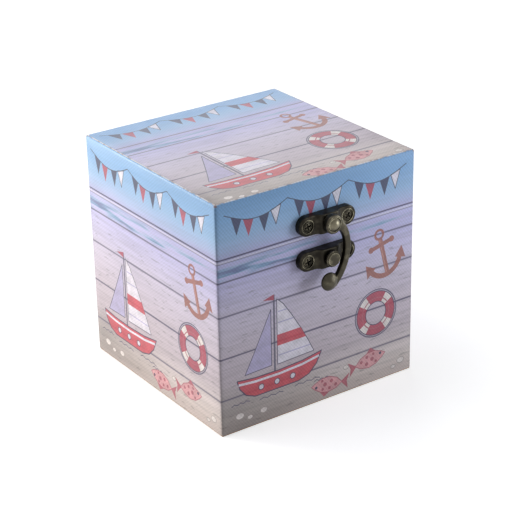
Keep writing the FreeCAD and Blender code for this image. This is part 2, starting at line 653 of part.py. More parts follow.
# The jack: spring, sleeve, top disc, ruff, head and hat, in the pressed-down state
def coil_spring():
    """The spring, pressed down under the closed lid."""
    line = doc.addObject("Part::Helix", "coil_line")
    bind(line, Pitch="coil_pitch", Height="disc_bottom - base_thick - 2 * wire_half", Radius="coil_radius")
    place(line, "0", "0", "base_thick + wire_half")
    line.SegmentLength = 1
    section = doc.addObject("Part::RegularPolygon", "wire_section")
    section.Polygon = 6
    bind(section, Circumradius="wire / 2")
    place(section, "coil_radius", "0", "base_thick + wire_half", BACK)
    doc.recompute()
    spring = doc.addObject("Part::Sweep", "jack_spring")
    spring.Sections = [section]
    spring.Spine = (line, [f"Edge{number}" for number in range(1, len(line.Shape.Edges) + 1)])
    spring.Solid = True
    spring.Frenet = True
    return keep(spring, "jack_spring")


def cloth_sleeve():
    """The sleeve, gathered between the base and the top disc."""
    outside = "disc_radius + sleeve_cloth"
    bulge = "((disc_top - base_thick) ^ 2 / 4 + sleeve_bulge ^ 2) / (2 * sleeve_bulge)"
    return keep(turned("jack_sleeve", [(outside, "base_thick", bulge), (outside, "disc_top"),
                                       ("disc_radius", "disc_top", f"-({bulge})"),
                                       ("disc_radius", "base_thick")]), "jack_sleeve")


keep(rod("spring_seat", "boss_radius", "seat_height", "0", "0", "base_thick"), "spring_seat")
coil_spring()
cloth_sleeve()
keep(turned("jack_disc", [("0", "disc_bottom - disc_boss"), ("boss_radius", "disc_bottom - disc_boss"),
                          ("boss_radius", "disc_bottom"), ("disc_radius", "disc_bottom"),
                          ("disc_radius", "disc_top"), ("0", "disc_top")]), "jack_disc")
keep(rod("jack_neck", "neck_radius", "ruff_thick + neck_rise", "0", "0", "disc_top"), "jack_neck")
keep(turned("jack_ruff", [("neck_radius + screw_fit", "disc_top"),
                          ("ruff_radius", "disc_top + (ruff_thick - ruff_rim) / 2"),
                          ("ruff_radius", "disc_top + (ruff_thick + ruff_rim) / 2"),
                          ("neck_radius + screw_fit", "head_foot")]), "jack_ruff")
keep(turned("jack_head", [("neck_radius + screw_fit", "head_foot"), ("head_flat", "head_foot", "head_radius"),
                          ("0", "head_z + head_radius"), ("0", "head_foot + neck_rise + screw_fit"),
                          ("neck_radius + screw_fit", "head_foot + neck_rise + screw_fit")]), "jack_head")
skull = ball("skull_round", "head_radius", "0", "0", "head_z")
nose_ball = ball("nose_ball", "nose_radius", "0", "-head_radius - nose_radius / 3", "head_z")
keep(cut("jack_nose", nose_ball, [skull]), "jack_nose")
tufts = [cut(f"tuft_{label}", ball(f"tuft_ball_{label}", "tuft_radius",
                                   f"{side} * (head_radius + tuft_radius / 4)", "0", "head_z"), [skull])
         for label, side in SIDES]
keep(group("jack_hair", tufts), "jack_hair")
keep(turned("jack_hat", [("0", "head_z + head_radius", "-head_radius"), ("hat_radius", "brim_z", "brim_roll"),
                         ("hat_radius + brim_roll", "brim_z + brim_roll", "brim_roll"),
                         ("hat_radius", "brim_z + 2 * brim_roll"), ("hat_tip", "hat_tip_z"),
                         ("0", "hat_tip_z")]), "jack_hat")
keep(turned("hat_pompom", [("0", "hat_tip_z"), ("hat_tip", "hat_tip_z", "pompom_radius"),
                           ("0", "pompom_z + pompom_radius")]), "hat_pompom")

# Nothing is written unless every feature is sound
doc.recompute()
for thing in doc.Objects:
    if "Invalid" in thing.State or "Error" in thing.State:
        raise RuntimeError(f"{thing.Label} failed: {thing.State}")
for piece in kept:
    if piece.Shape.isNull() or not piece.Shape.isValid() or not piece.Shape.Solids:
        raise RuntimeError(f"{piece.Label} has no sound shape")
for piece in kept:
    piece.Shape.exportStep(f"parts/{piece.Label}.step")
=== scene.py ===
import math
from functools import partial

import bmesh
import bpy
from mathutils import Matrix, Vector, geometry, noise


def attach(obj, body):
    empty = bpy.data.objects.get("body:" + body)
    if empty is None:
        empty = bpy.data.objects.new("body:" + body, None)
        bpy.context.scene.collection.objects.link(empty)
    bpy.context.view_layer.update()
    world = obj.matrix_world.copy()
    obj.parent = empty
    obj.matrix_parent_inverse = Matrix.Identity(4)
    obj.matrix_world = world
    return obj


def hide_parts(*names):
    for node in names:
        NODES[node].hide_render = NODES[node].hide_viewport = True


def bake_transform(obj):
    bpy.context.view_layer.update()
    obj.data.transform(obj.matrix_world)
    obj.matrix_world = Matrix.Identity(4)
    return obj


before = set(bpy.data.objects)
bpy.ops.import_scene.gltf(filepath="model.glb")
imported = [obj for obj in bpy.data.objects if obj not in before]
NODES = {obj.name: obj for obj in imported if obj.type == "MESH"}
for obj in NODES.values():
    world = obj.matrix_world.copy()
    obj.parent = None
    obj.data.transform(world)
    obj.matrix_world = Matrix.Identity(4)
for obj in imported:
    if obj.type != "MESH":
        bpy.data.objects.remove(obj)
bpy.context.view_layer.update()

# A cube-shaped jack in the box: a paper-covered box with a swing-hook latch, and inside it a clown's head
# on a spring in a cloth sleeve. Sizes are in millimetres unless a name ends in _M.
MM = 0.001
WELD_M, SPECK_M = 1e-6, 1e-7
# The distance between the bands of a wave texture whose scale is one
WAVE_GAP = math.tau / 20


def linear(code):
    """An sRGB hex colour as linear red, green, blue and alpha."""
    parts = [int(code[place:place + 2], 16) / 255 for place in (1, 3, 5)]
    return (*[p / 12.92 if p <= 0.04045 else ((p + 0.055) / 1.055) ** 2.4 for p in parts], 1.0)


# The words that a node's type begins with; kinds are written without them
FAMILIES = ("ShaderNode", "GeometryNode", "FunctionNode", "Node")


def add(tree, kind, inputs=(), stops=(), **settings):
    """Add a node and give back its outputs. Inputs are listed in the order of the sockets, or keyed by their
    names or numbers; each is a value, an output or a list of outputs. Settings are the node's properties, and
    stops are a ramp's places and colours."""
    family = next(family for family in FAMILIES if hasattr(bpy.types, family + kind))
    node = tree.nodes.new(family + kind)
    for name, setting in settings.items():
        setattr(node, name, setting)
    for key, given in inputs.items() if isinstance(inputs, dict) else enumerate(inputs):
        if isinstance(given, (bpy.types.NodeSocket, list)):
            for source in given if isinstance(given, list) else [given]:
                tree.links.new(source, node.inputs[key])
        else:
            node.inputs[key].default_value = given
    for number, (place, colour) in enumerate(stops):
        marks = node.color_ramp.elements
        mark = marks[number] if number < len(marks) else marks.new(place)
        mark.position = place
        mark.color = linear(colour) if isinstance(colour, str) else (colour, colour, colour, 1.0)
    return node.outputs


def new_finish(name, uv_map=None):
    """An empty material, the means to add its nodes, and the places on a piece: in metres, or on a UV map."""
    material = bpy.data.materials.new(name)
    material.use_nodes = True
    material.node_tree.nodes.clear()
    node = partial(add, material.node_tree)
    place = node("UVMap", uv_map=uv_map)[0] if uv_map else node("TexCoord")["Object"]
    return material, node, place


def coated(material, **sockets):
    """Close a material with its shader; an underscore in a socket's name stands for a space."""
    inputs = {name.replace("_", " "): given for name, given in sockets.items()}
    surface = add(material.node_tree, "BsdfPrincipled", inputs)[0]
    add(material.node_tree, "OutputMaterial", {"Surface": surface})
    return material


# The printed paper: sizes of the covered box
HALF = 50.0
CORNER = 0.9
FLAT = HALF - CORNER
TOTAL = 103.0
BOX_LOW, BOX_HIGH = 0.6, 79.2
LID_LOW = 79.4
PAPER = 0.35
PRINT_MM = 100.0

# The picture on each face, drawn in mm from the middle of the face (u, to the right) and from its upper edge
# (v, downwards): paints of the motifs
NAVY, CRIMSON, RED = "#332F52", "#B3475C", "#CE4E5C"
LILAC, LILAC_SHADE, CREAM = "#EDE8F4", "#BDB6DA", "#EFE7E4"
RUST, RUST_LIGHT, ROSE, ROSE_DARK = "#A2665A", "#C08C7E", "#DFA4AA", "#B35F6E"
PEBBLE, SLATE = "#A89D9A", "#5E5A72"
SWAG_LONG, SWAG_DEEP, SWAG_STEPS, FLAG_LONG = 30.5, 4.6, 16, 7.4
FISH_SPOTS = ((-4.6, 0.6, 0.8), (-2, -1.4, 0.9), (-1.4, 1.8, 0.8), (1.2, -0.2, 1), (2.2, 2, 0.7),
              (3, -2, 0.7))
PEBBLES = ((-41, 96, 1.5), (-36, 98, 1), (-29, 97, 1.3), (44, 97, 1.4), (40, 99, 0.9), (14, 91, 1))


def oval(middle, wide, high, count, start=0.0, turn=360.0):
    """Points round an oval, or along a part of it."""
    steps = count if turn >= 360 else count + 1
    angles = [math.radians(start + turn * step / count) for step in range(steps)]
    return [(middle[0] + wide * math.cos(a), middle[1] + high * math.sin(a)) for a in angles]


def stroke(points, width, paint, closed=False):
    """A drawn line as painted strips, one for each of its runs."""
    shapes = []
    ends = points[1:] + points[:1] if closed else points[1:]
    for (x0, y0), (x1, y1) in zip(points, ends):
        long = math.hypot(x1 - x0, y1 - y0)
        along = ((x1 - x0) / long * width / 2, (y1 - y0) / long * width / 2)
        x0, y0, x1, y1 = x0 - along[0] / 2, y0 - along[1] / 2, x1 + along[0] / 2, y1 + along[1] / 2
        strip = [(x0 - along[1], y0 + along[0]), (x0 + along[1], y0 - along[0]),
                 (x1 + along[1], y1 - along[0]), (x1 - along[1], y1 + along[0])]
        shapes.append((strip, paint))
    return shapes


def inked(points, paint, edge=None, width=0.35):
    """A filled shape, with an inked edge round it where one is named."""
    return [(points, paint)] + (stroke(points, width, edge, closed=True) if edge else [])


def moved(shapes, u, v, turn):
    """Shapes drawn with y upwards round their own origin, turned and set at a place of the face."""
    c, s = math.cos(math.radians(turn)), math.sin(math.radians(turn))
    return [([(u + x * c - y * s, v - x * s - y * c) for x, y in points], paint)
            for points, paint in shapes]


def sailing_boat():
    """A dinghy with a mainsail and a jib."""
    main = [(-0.6, 39), (-0.6, 9), (18, 9.6), (15.4, 15), (11.6, 22), (7, 29.5), (2.6, 36)]
    jib = [(-3.6, 35), (-3.6, 9.4), (-17, 9), (-13.4, 15.6), (-8.6, 25)]
    hull = [(-21, 7.4), (-19.6, 3.2), (-16.6, -0.4), (-12, -2.2), (10, -2.2), (15.4, -0.6), (19.4, 3.2),
            (22, 8.4), (12, 6.8), (0, 6.2), (-12, 6.4)]
    shapes = stroke([(-2, 6), (-2, 41)], 0.9, SLATE)
    shapes += inked(main, LILAC, NAVY)
    shapes += inked([(-0.6, 22.5), (-0.6, 17.5), (14, 17.5), (11.3, 22.5)], RED)
    for low, reach in ((13, 16), (28, 7.6), (33, 4.4)):
        shapes += stroke([(0, low), (reach, low)], 0.5, LILAC_SHADE)
    shapes += inked(jib, LILAC_SHADE, NAVY)
    shapes += inked(hull, RED, NAVY, 0.5)
    shapes += stroke([(-20, 5.4), (-12, 4.6), (0, 4.4), (12, 5), (20.4, 6.3)], 1.1, LILAC)
    for x in (-9, -1, 7):
        shapes += inked(oval((x, 1.2), 1.3, 1.3, 16), LILAC, NAVY)
    shapes += inked([(-2, 41.4), (-2, 38.8), (-7.4, 40)], CRIMSON)
    for x, y, long in ((-24, -3.4, 9), (-10, -4.6, 12), (8, -4, 13), (18, -5.4, 8)):
        crest = [(x + long * n / 6, y + (0.5 if n % 2 else -0.2)) for n in range(7)]
        shapes += stroke(crest, 0.4, SLATE)
    return shapes


def anchor():
    """An anchor with its stock, arms and flukes."""
    shapes = stroke([(0, 8.4), (0, -9)], 2.2, RUST)
    shapes += stroke([(-0.4, 8), (-0.4, -8)], 0.6, RUST_LIGHT)
    shapes += stroke([(-5.6, 5.4), (5.6, 5.4)], 1.9, RUST)
    shapes += stroke(oval((0, 10.4), 2.1, 2.1, 18), 1.1, RUST, closed=True)
    shapes += stroke(oval((0, -1), 8.6, 8.4, 18, 200, 140), 2.3, RUST)
    for side in (-1, 1):
        shapes += inked([(side * 9.9, -0.2), (side * 5.4, -3.8), (side * 10.6, -6.6)], RUST)
        shapes += inked(oval((side * 5.6, 5.4), 1.4, 1.4, 14), RUST)
    return shapes


def lifebuoy():
    """A ring float in quarters of two colours, with its grab line."""
    outer, inner, rope, seam = 10.2, 5.4, 11, 7.2
    shapes = stroke(oval((0, 0), rope, rope, 40), 0.6, SLATE, closed=True)
    for part in range(8):
        start, turn, paint = (part * 45 - 13, 26, CREAM) if part % 2 else (part * 45 - 32, 64, CRIMSON)
        rim = oval((0, 0), outer, outer, 8, start, turn)
        hole = oval((0, 0), inner, inner, 8, start, turn)
        shapes += inked(rim + hole[::-1], paint)
    shapes += stroke(oval((0, 0), seam, seam, 36), 0.5, ROSE_DARK, closed=True)
    for radius in (outer, inner):
        shapes += stroke(oval((0, 0), radius, radius, 40), 0.4, NAVY, closed=True)
    return shapes


def fish():
    """A spotted fish."""
    back = [(-5, 2.4), (-1, 3.6), (3, 3.2), (6.6, 1.4)]
    body = [(-8, 0)] + back + [(8.4, 0)] + [(x, -y) for x, y in back[::-1]]
    shapes = inked([(-7.2, 0), (-11.6, 3.6), (-10.6, 0), (-11.6, -3.6)], ROSE_DARK)
    shapes += inked([(-2, 3.2), (1, 5.6), (3.6, 3)], ROSE_DARK)
    shapes += inked(body, ROSE, ROSE_DARK)
    for x, y, size in FISH_SPOTS:
        shapes += inked(oval((x, y), size, size, 12), ROSE_DARK)
    return shapes + inked(oval((5.8, 0.7), 0.7, 0.7, 12), NAVY)


def bunting():
    """A string of pointed flags in three swags."""
    shapes = []
    for left in (-46.0, -15.5, 15.0):
        string = [(left + SWAG_LONG * n / SWAG_STEPS, -SWAG_DEEP * math.sin(math.pi * n / SWAG_STEPS))
                  for n in range(SWAG_STEPS + 1)]
        for flag, paint in enumerate((NAVY, CRIMSON, NAVY, LILAC)):
            start = 2 + 3 * flag + (flag > 1)
            first, last = string[start], string[start + 2]
            tip = ((first[0] + last[0]) / 2, (first[1] + last[1]) / 2 - FLAG_LONG)
            edge = NAVY if paint == LILAC else None
            shapes += inked([(first[0] - 0.6, first[1]), tip, (last[0] + 0.6, last[1])], paint, edge)
        shapes += stroke(string, 0.4, NAVY)
    return shapes


def face_picture():
    """All motifs of one face."""
    shapes = []
    for motif, u, v, turn in ((bunting, 0, 5.2, 0), (sailing_boat, -21, 87, 0), (anchor, 34, 44, 14),
                              (lifebuoy, 30, 70, 0), (fish, 27, 91.5, 8), (fish, 4, 96, 172)):
        shapes += moved(motif(), u, v, turn)
    for u, v, size in PEBBLES:
        shapes += inked(oval((u, v), size * 1.4, size, 14), CREAM, PEBBLE, 0.3)
    return shapes


def wind(points):
    """Points in counter-clockwise order."""
    area = sum(x0 * y1 - x1 * y0 for (x0, y0), (x1, y1) in zip(points, points[1:] + points[:1]))
    return points if area > 0 else points[::-1]


def printed_triangles(outline, folds, shapes):
    """Cut a flat outline along its folds and round its printed shapes: the corners of each triangle, and its
    paint or None."""
    spots, edges, faces, paints = [], [], [], []
    for points, paint in [(outline, None)] + shapes:
        first = len(spots)
        spots += [Vector(point) for point in wind(points)]
        faces.append(list(range(first, len(spots))))
        paints.append(paint)
    for start, end in folds:
        edges.append((len(spots), len(spots) + 1))
        spots += [Vector(start), Vector(end)]
    corners, _, triangles, _, _, sources = geometry.delaunay_2d_cdt(spots, edges, faces, 1, 1e-5, True)
    return [([corners[number] for number in triangle], paints[max(source)])
            for triangle, source in zip(triangles, sources) if 0 in source]


ARC_STEPS = 4
ARC = CORNER * math.pi / 2
SIDE = 2 * FLAT + ARC


def wrap_point(s, height, rise=0.0):
    """A point of the paper at a distance s along its way round the box; rise turns it over the top edge."""
    side, along = divmod(s, SIDE)
    reach = CORNER * math.cos(rise)
    angle = max(along - 2 * FLAT, 0) / CORNER
    u = min(along, 2 * FLAT) - FLAT + reach * math.sin(angle)
    out = FLAT + reach * math.cos(angle)
    c, d = round(math.cos(side * math.pi / 2)), round(math.sin(side * math.pi / 2))
    return Vector((u * c + out * d, u * d - out * c, height + CORNER * math.sin(rise))) * MM


def face_middle(s):
    """Where the middle of the face lies that a place along the paper's way is on."""
    return round((s - FLAT) / SIDE) * SIDE + FLAT


def paper_cover(name, low, high, closed_top):
    """The paper round the box or the lid, with its picture cut into the mesh as painted faces."""
    picture = face_picture()
    shapes = [([(SIDE * side + FLAT + u, TOTAL - v) for u, v in points], paint)
              for side in range(4) for points, paint in picture]
    shapes = [(points, paint) for points, paint in shapes
              if min(y for x, y in points) < high and max(y for x, y in points) > low]
    ring = sorted(SIDE * side + 2 * FLAT + ARC * step / ARC_STEPS
                  for side in range(4) for step in range(ARC_STEPS + 1))
    folds = [((s, low), (s, high)) for s in ring[:-1]]
    outline = [(0, low), (4 * SIDE, low), (4 * SIDE, high), (0, high)]
    mesh = bmesh.new()
    uv = mesh.loops.layers.uv.new("print")
    ink = mesh.loops.layers.float_vector.new("ink")
    cover = mesh.loops.layers.float.new("ink_cover")

    def lay(points, flat_points, paint):
        """One face of the paper with its place on the print and its paint."""
        face = mesh.faces.new([mesh.verts.new(point) for point in points])
        face.smooth = True
        for loop, (u, v) in zip(face.loops, flat_points):
            loop[uv].uv = (u / PRINT_MM, v / PRINT_MM)
            loop[ink] = Vector(linear(paint)[:3]) if paint else Vector((0, 0, 0))
            loop[cover] = 1.0 if paint else 0.0

    for corners, paint in printed_triangles(outline, folds, shapes):
        middle = face_middle(sum(point.x for point in corners) / 3)
        lay([wrap_point(point.x, point.y) for point in corners],
            [(point.x - middle, TOTAL - point.y) for point in corners], paint)
    if closed_top:
        turns = [math.pi / 2 * step / ARC_STEPS for step in range(ARC_STEPS + 1)]
        stops = sorted({round(s, 6) for s in ring[:-1]} | {SIDE * side for side in range(4)} | {4 * SIDE})
        for start, end in zip(stops, stops[1:]):
            middle = face_middle((start + end) / 2)
            for first, last in zip(turns, turns[1:]):
                patch = ((start, first), (end, first), (end, last), (start, last))
                lay([wrap_point(s, high, rise) for s, rise in patch],
                    [(s - middle, -rise / math.pi) for s, rise in patch], None)
        square = [(-FLAT, -FLAT), (FLAT, -FLAT), (FLAT, FLAT), (-FLAT, FLAT)]
        top_shapes = [([(u, HALF - v) for u, v in points], paint) for points, paint in picture]
        for corners, paint in printed_triangles(square, [], top_shapes):
            lay([Vector((point.x, point.y, high + CORNER)) * MM for point in corners],
                [(point.x, HALF - point.y) for point in corners], paint)
    bmesh.ops.remove_doubles(mesh, verts=mesh.verts, dist=WELD_M)
    bmesh.ops.dissolve_degenerate(mesh, edges=mesh.edges, dist=SPECK_M)
    return piece_from(name, mesh)


def piece_from(name, mesh):
    """A finished bmesh as an object."""
    data = bpy.data.meshes.new(name)
    mesh.to_mesh(data)
    mesh.free()
    thing = bpy.data.objects.new(name, data)
    bpy.context.scene.collection.objects.link(thing)
    return thing


def applied(thing):
    """Turn a piece's modifiers into its plain mesh."""
    graph = bpy.context.evaluated_depsgraph_get()
    data = bpy.data.meshes.new_from_object(thing.evaluated_get(graph), preserve_all_data_layers=True,
                                           depsgraph=graph)
    thing.modifiers.clear()
    thing.data = data
    return thing


SHARP_CUT, SHARP_SLOT = math.radians(50), math.radians(35)


def thickened(thing, thickness):
    """Give a sheet its thickness on the inner side, with sharp cut edges."""
    wall = thing.modifiers.new("wall", "SOLIDIFY")
    wall.thickness = thickness * MM
    wall.offset = -1
    applied(thing).data.set_sharp_from_angle(angle=SHARP_CUT)
    return thing


# Colours of the print from the upper edge down: sky, whitewashed planks, sand
BANDS = [(0.0, "#80AFDF"), (0.07, "#8AB7E5"), (0.15, "#9DC1E8"), (0.205, "#B1C3E9"), (0.24, "#BFBFE9"),
         (0.34, "#C8C5EC"), (0.5, "#D3CBE0"), (0.66, "#D0C5D2"), (0.79, "#CABEC7"), (0.87, "#C1B7B8"),
         (0.94, "#BBB1AE"), (1.0, "#B2A6A2")]
WATERS = [(0.02, "#8FBFD6"), (0.14, "#6C9CC0"), (0.24, "#46608F")]
PLANK_JOINTS = (0.239, 0.337, 0.489, 0.678, 0.867)
FULL_INK = 0.92
JOINT_EDGES = ((-0.005, 0.0), (-0.002, FULL_INK), (0.002, FULL_INK), (0.005, 0.0))
RIM_HIGHLIGHT_AND_CREASE_SHADE = [(0.2425, 0.0), (0.245, 0.55), (0.2505, 0.55), (0.253, 0.65), (0.2555, 0.65), (0.2575, 0.0)]
THREAD_GAP = 1.15


def printed_paper():
    """Coated paper with an offset print, pasted on board: a satin face with a fine diagonal linen emboss, a
    beach picture in washed-out colours and pale rubbed edges, with painted light and shade: a highlight and a
    crease shade along the box's rim, darker upright folds and lighter and darker emboss threads. Places on
    the print are shares of PRINT_MM."""
    material, node, uv = new_finish("printed_paper", "print")
    across, down, _ = node("SeparateXYZ", [uv])
    # Uneven tones, by the length and width of their marks in mm and their detail. Washes move the borders
    # between the bands, and flecks are drawn twice as wide as real ones so that they show.
    tones = []
    for long, wide, detail in ((18, 18, 3), (30, 1.5, 4), (6, 1.2, 1), (12, 12, 5), (30, 2.5, 3), (4, 4, 3)):
        place = node("Mapping", {"Vector": uv, "Scale": (PRINT_MM / long, PRINT_MM / wide, 1.0)})[0]
        tones.append(node("TexNoise", {"Vector": place, "Scale": 1.0, "Detail": detail},
                          noise_dimensions="2D")[0])
    washes, grain, flecks, clouds, strokes, patches = tones
    sway = node("Math", [washes, 0.03, -0.015], operation="MULTIPLY_ADD")[0]
    level = node("Math", [down, sway], operation="ADD")[0]
    # Dry sand, paler towards the right
    ashore = node("MapRange", [down, 0.8, 0.9])[0]
    dry = node("MapRange", [across, -0.42, 0.25, 0.84, 1.42])[0]
    # Whitewashed grain along the planks, which fades out in the sky, and its scattered dark flecks
    streaks = node("ValToRGB", [grain], stops=[(0.3, 0.82), (0.5, 0.97), (0.7, 1.06)])[0]
    grainy = node("MapRange", [down, 0.18, 0.26, 0.25, 0.75])[0]
    planks = node("MapRange", [down, 0.3, 0.4, 1.0, 0.72])[0]
    fleck = node("MapRange", [flecks, 0.68, 0.76, 1.0, planks])[0]
    # A strip of sea under the sky, in level strokes that thin out to the right
    sea_band = node("ValToRGB", [level], stops=[
        (0.25, 0.0), (0.275, 0.8), (0.315, 1.0), (0.336, 0.0)])[0]
    shore = node("MapRange", [across, -0.5, 0.45, 0.38, 0.62])[0]
    depth = node("Math", [strokes, shore], operation="SUBTRACT")[0]
    broken = node("MapRange", [depth, -0.02, 0.12, 0, 0.8])[0]
    sea = node("Math", [sea_band, broken], operation="MULTIPLY")[0]
    waters = node("ValToRGB", [depth], stops=WATERS)[0]
    # On the walls a pale strip along the box's rim is painted as a highlight of its lit edge, with a thin
    # dark line 1.6 mm below the cut painted as the shade of a crease
    upright = node("SeparateXYZ", [node("NewGeometry")["Normal"]])[2]
    on_wall = node("MapRange", [upright, 0.5, 0.1])[0]
    rim = node("ValToRGB", [down], stops=RIM_HIGHLIGHT_AND_CREASE_SHADE)[0]
    rim = node("Math", [rim, on_wall], operation="MULTIPLY")[0]
    rim_highlight_and_crease_shade = node("ValToRGB", [down], stops=[(0.2515, "#E9E4F2"), (0.253, "#5C5476")])[0]
    # Dark joints between the planks, about 0.7 mm wide, with ragged edges
    marks = [(0.0, 0.0)] + [(joint + side, ink) for joint in PLANK_JOINTS for side, ink in JOINT_EDGES]
    ragged = node("Math", [grain, 0.004, down], operation="MULTIPLY_ADD")[0]
    joints = node("ValToRGB", [ragged], stops=marks)[0]
    # The motifs, unevenly inked
    uneven = node("MapRange", [patches, 0.3, 0.7, 0.86, 1.1])[0]
    ink = node("Attribute", attribute_name="ink")[1]
    motif = node("VectorMath", [ink, uneven], operation="MULTIPLY")[0]
    cover = node("Attribute", attribute_name="ink_cover")[2]
    printed = node("Math", [cover, FULL_INK], operation="MULTIPLY")[0]
    # Rubbed paper over the top edges
    over = node("MapRange", [down, -0.0026, -0.0036])[0]
    here = node("MapRange", [patches, 0.34, 0.46, 0.25, 1.0])[0]
    rubbed = node("Math", [over, here], operation="MULTIPLY")[0]
    worn = node("ValToRGB", [patches], stops=[(0.42, "#C7A88C"), (0.52, "#E8E8EC")])[0]
    # The folds along the upright edges are painted a little darker as shade, and the upper corners knocked
    # down to the board
    aside = node("Math", [across], operation="ABSOLUTE")[0]
    fold_shade = node("MapRange", [aside, 0.482, 0.497, 1.0, 0.84])[0]
    at_corner = node("MapRange", [aside, 0.487, 0.492])[0]
    at_top = node("MapRange", [down, 0.008, 0.002, 0, 0.75])[0]
    knocked = node("Math", [at_corner, at_top], operation="MULTIPLY")[0]
    # Linen emboss of diagonal threads, about as far apart as the photo shows them; the threads are also
    # painted lighter and darker into the colour, as painted light and shade of the emboss
    slant = node("Mapping", {"Vector": uv, "Rotation": (0, 0, math.radians(38))})[0]
    wave = {"Vector": slant, "Scale": PRINT_MM / THREAD_GAP * WAVE_GAP, "Distortion": 0.5, "Detail": 1.0,
            "Detail Scale": 2.0}
    warp, weft = [node("TexWave", wave, bands_direction=way)[1] for way in "XY"]
    threads = node("Math", [weft, 0.6, warp], operation="MULTIPLY_ADD")[0]
    shade = node("MapRange", [threads, 0, 1.6, 0.885, 1.09])[0]
    colour = node("ValToRGB", [level], stops=BANDS)[0]
    for share, paint, blend in (
            (ashore, dry, "MULTIPLY"), (grainy, streaks, "MULTIPLY"), (1.0, fleck, "MULTIPLY"),
            (sea, waters, "MIX"), (rim, rim_highlight_and_crease_shade, "MIX"), (joints, linear("#4A4364"), "MIX"),
            (printed, motif, "MIX"), (rubbed, worn, "MIX"), (1.0, fold_shade, "MULTIPLY"),
            (knocked, linear("#8C6A55"), "MIX"), (1.0, shade, "MULTIPLY")):
        colour = node("Mix", {0: share, 6: colour, 7: paint}, data_type="RGBA", blend_type=blend)[2]
    bump = node("Bump", {"Strength": 0.38, "Distance": 0.05 * MM, "Height": threads})[0]
    gloss = node("MapRange", [clouds, 0, 1, 0.4, 0.5])[0]
    return coated(material, Base_Color=colour, Roughness=gloss, Normal=bump, IOR=1.5, Specular_IOR_Level=0.5)


BRONZES = [(0.0, "#211E19"), (0.3, "#433F35"), (0.65, "#7D7764"), (1.0, "#C4BDA2")]


def antique_bronze(name, wear, edge_rub_and_highlight):
    """Die-cast zinc with an antique bronze plating: nearly black in the hollows, relieved to olive brass on
    the edges and high spots, which are also painted lighter as highlights; wear lightens it all over, and the
    edge rubbing only its edges, as wear and as a painted highlight."""
    material, node, place = new_finish(name)
    # Edges are lightened both as rubbed wear and as a painted highlight
    normal = node("NewGeometry")["Normal"]
    softened = node("Bevel", {"Radius": 0.7 * MM}, samples=6)[0]
    along = node("VectorMath", [normal, softened], operation="DOT_PRODUCT")[1]
    edges = node("MapRange", [along, 0.99, 0.86])[0]
    # Rubbing in 3 mm patches, and a cast skin of 0.4 mm grains
    patches = node("TexNoise", {"Vector": place, "Scale": 1 / (3 * MM), "Detail": 4.0})[0]
    skin = node("TexNoise", {"Vector": place, "Scale": 1 / (0.4 * MM), "Detail": 3.0})[0]
    spread = node("MapRange", [patches, 0.35, 0.65, 0.5 * edge_rub_and_highlight, edge_rub_and_highlight])[0]
    rubbed = node("Math", [edges, spread], operation="MULTIPLY")[0]
    # Hollows narrower than 2 mm are never rubbed, and keep a black patina
    open_sky = node("AmbientOcclusion", {"Distance": 2 * MM}, samples=6)[1]
    reached = node("MapRange", [open_sky, 0.45, 0.75])[0]
    rubbed = node("Math", [rubbed, reached], operation="MULTIPLY")[0]
    patina = node("MapRange", [open_sky, 0.35, 0.75, 0.08, 1.0])[0]
    faint = node("MapRange", [patches, 0.45, 0.75, wear, wear + 0.25])[0]
    # What stands out more than 4 mm from the box is lighter: handled most and rubbed brightest, and painted
    # lighter as a highlight as well
    out = node("SeparateXYZ", [place])[1]
    out = node("Math", [out], operation="ABSOLUTE")[0]
    handled_wear_and_highlight = node("MapRange", [out, (HALF + 4.0) * MM, (HALF + 9.0) * MM, 0, 0.34])[0]
    relief = node("Math", [rubbed, faint], operation="ADD")[0]
    relief = node("Math", [relief, handled_wear_and_highlight], operation="ADD", use_clamp=True)[0]
    tone = node("ValToRGB", [relief], stops=BRONZES)[0]
    tone = node("VectorMath", [tone, patina], operation="MULTIPLY")[0]
    polish = node("MapRange", [relief, 0, 1, 0.42, 0.24])[0]
    bump = node("Bump", {"Strength": 0.25, "Distance": 0.03 * MM, "Height": skin})[0]
    return coated(material, Base_Color=tone, Roughness=polish, Normal=bump, Metallic=0.92)


def grained(name, stops, broad, fine, share, bump, **sockets):
    """A finish of two grains, each given as its size in mm, detail and roughness. The fine one takes a share
    in the tone, and stands out as a bump of the given strength and depth in mm."""
    material, node, place = new_finish(name)
    grains = []
    for size, detail, rough in (broad, fine):
        grain = {"Vector": place, "Scale": 1 / (size * MM), "Detail": detail, "Roughness": rough}
        grains.append(node("TexNoise", grain)[0])
    coarse, small = grains
    mixed = node("Math", [small, share, coarse], operation="MULTIPLY_ADD")[0]
    tone = node("ValToRGB", [mixed], stops=stops)[0]
    relief = node("Bump", {"Strength": bump[0], "Distance": bump[1] * MM, "Height": small})[0]
    return coated(material, Base_Color=tone, Normal=relief, **sockets)


def wool(name, dark, light):
    """Spun wool yarn: matt and fuzzy, with a shade that changes between strands, and roughening plies."""
    return grained(name, [(0.32, dark), (0.68, light)], broad=(1.6, 2.0, 0.5), fine=(0.3, 2.0, 0.5),
                   share=0.0, bump=(0.5, 0.1), Roughness=0.92, Sheen_Weight=0.35, Sheen_Roughness=0.5,
                   Specular_IOR_Level=0.15)


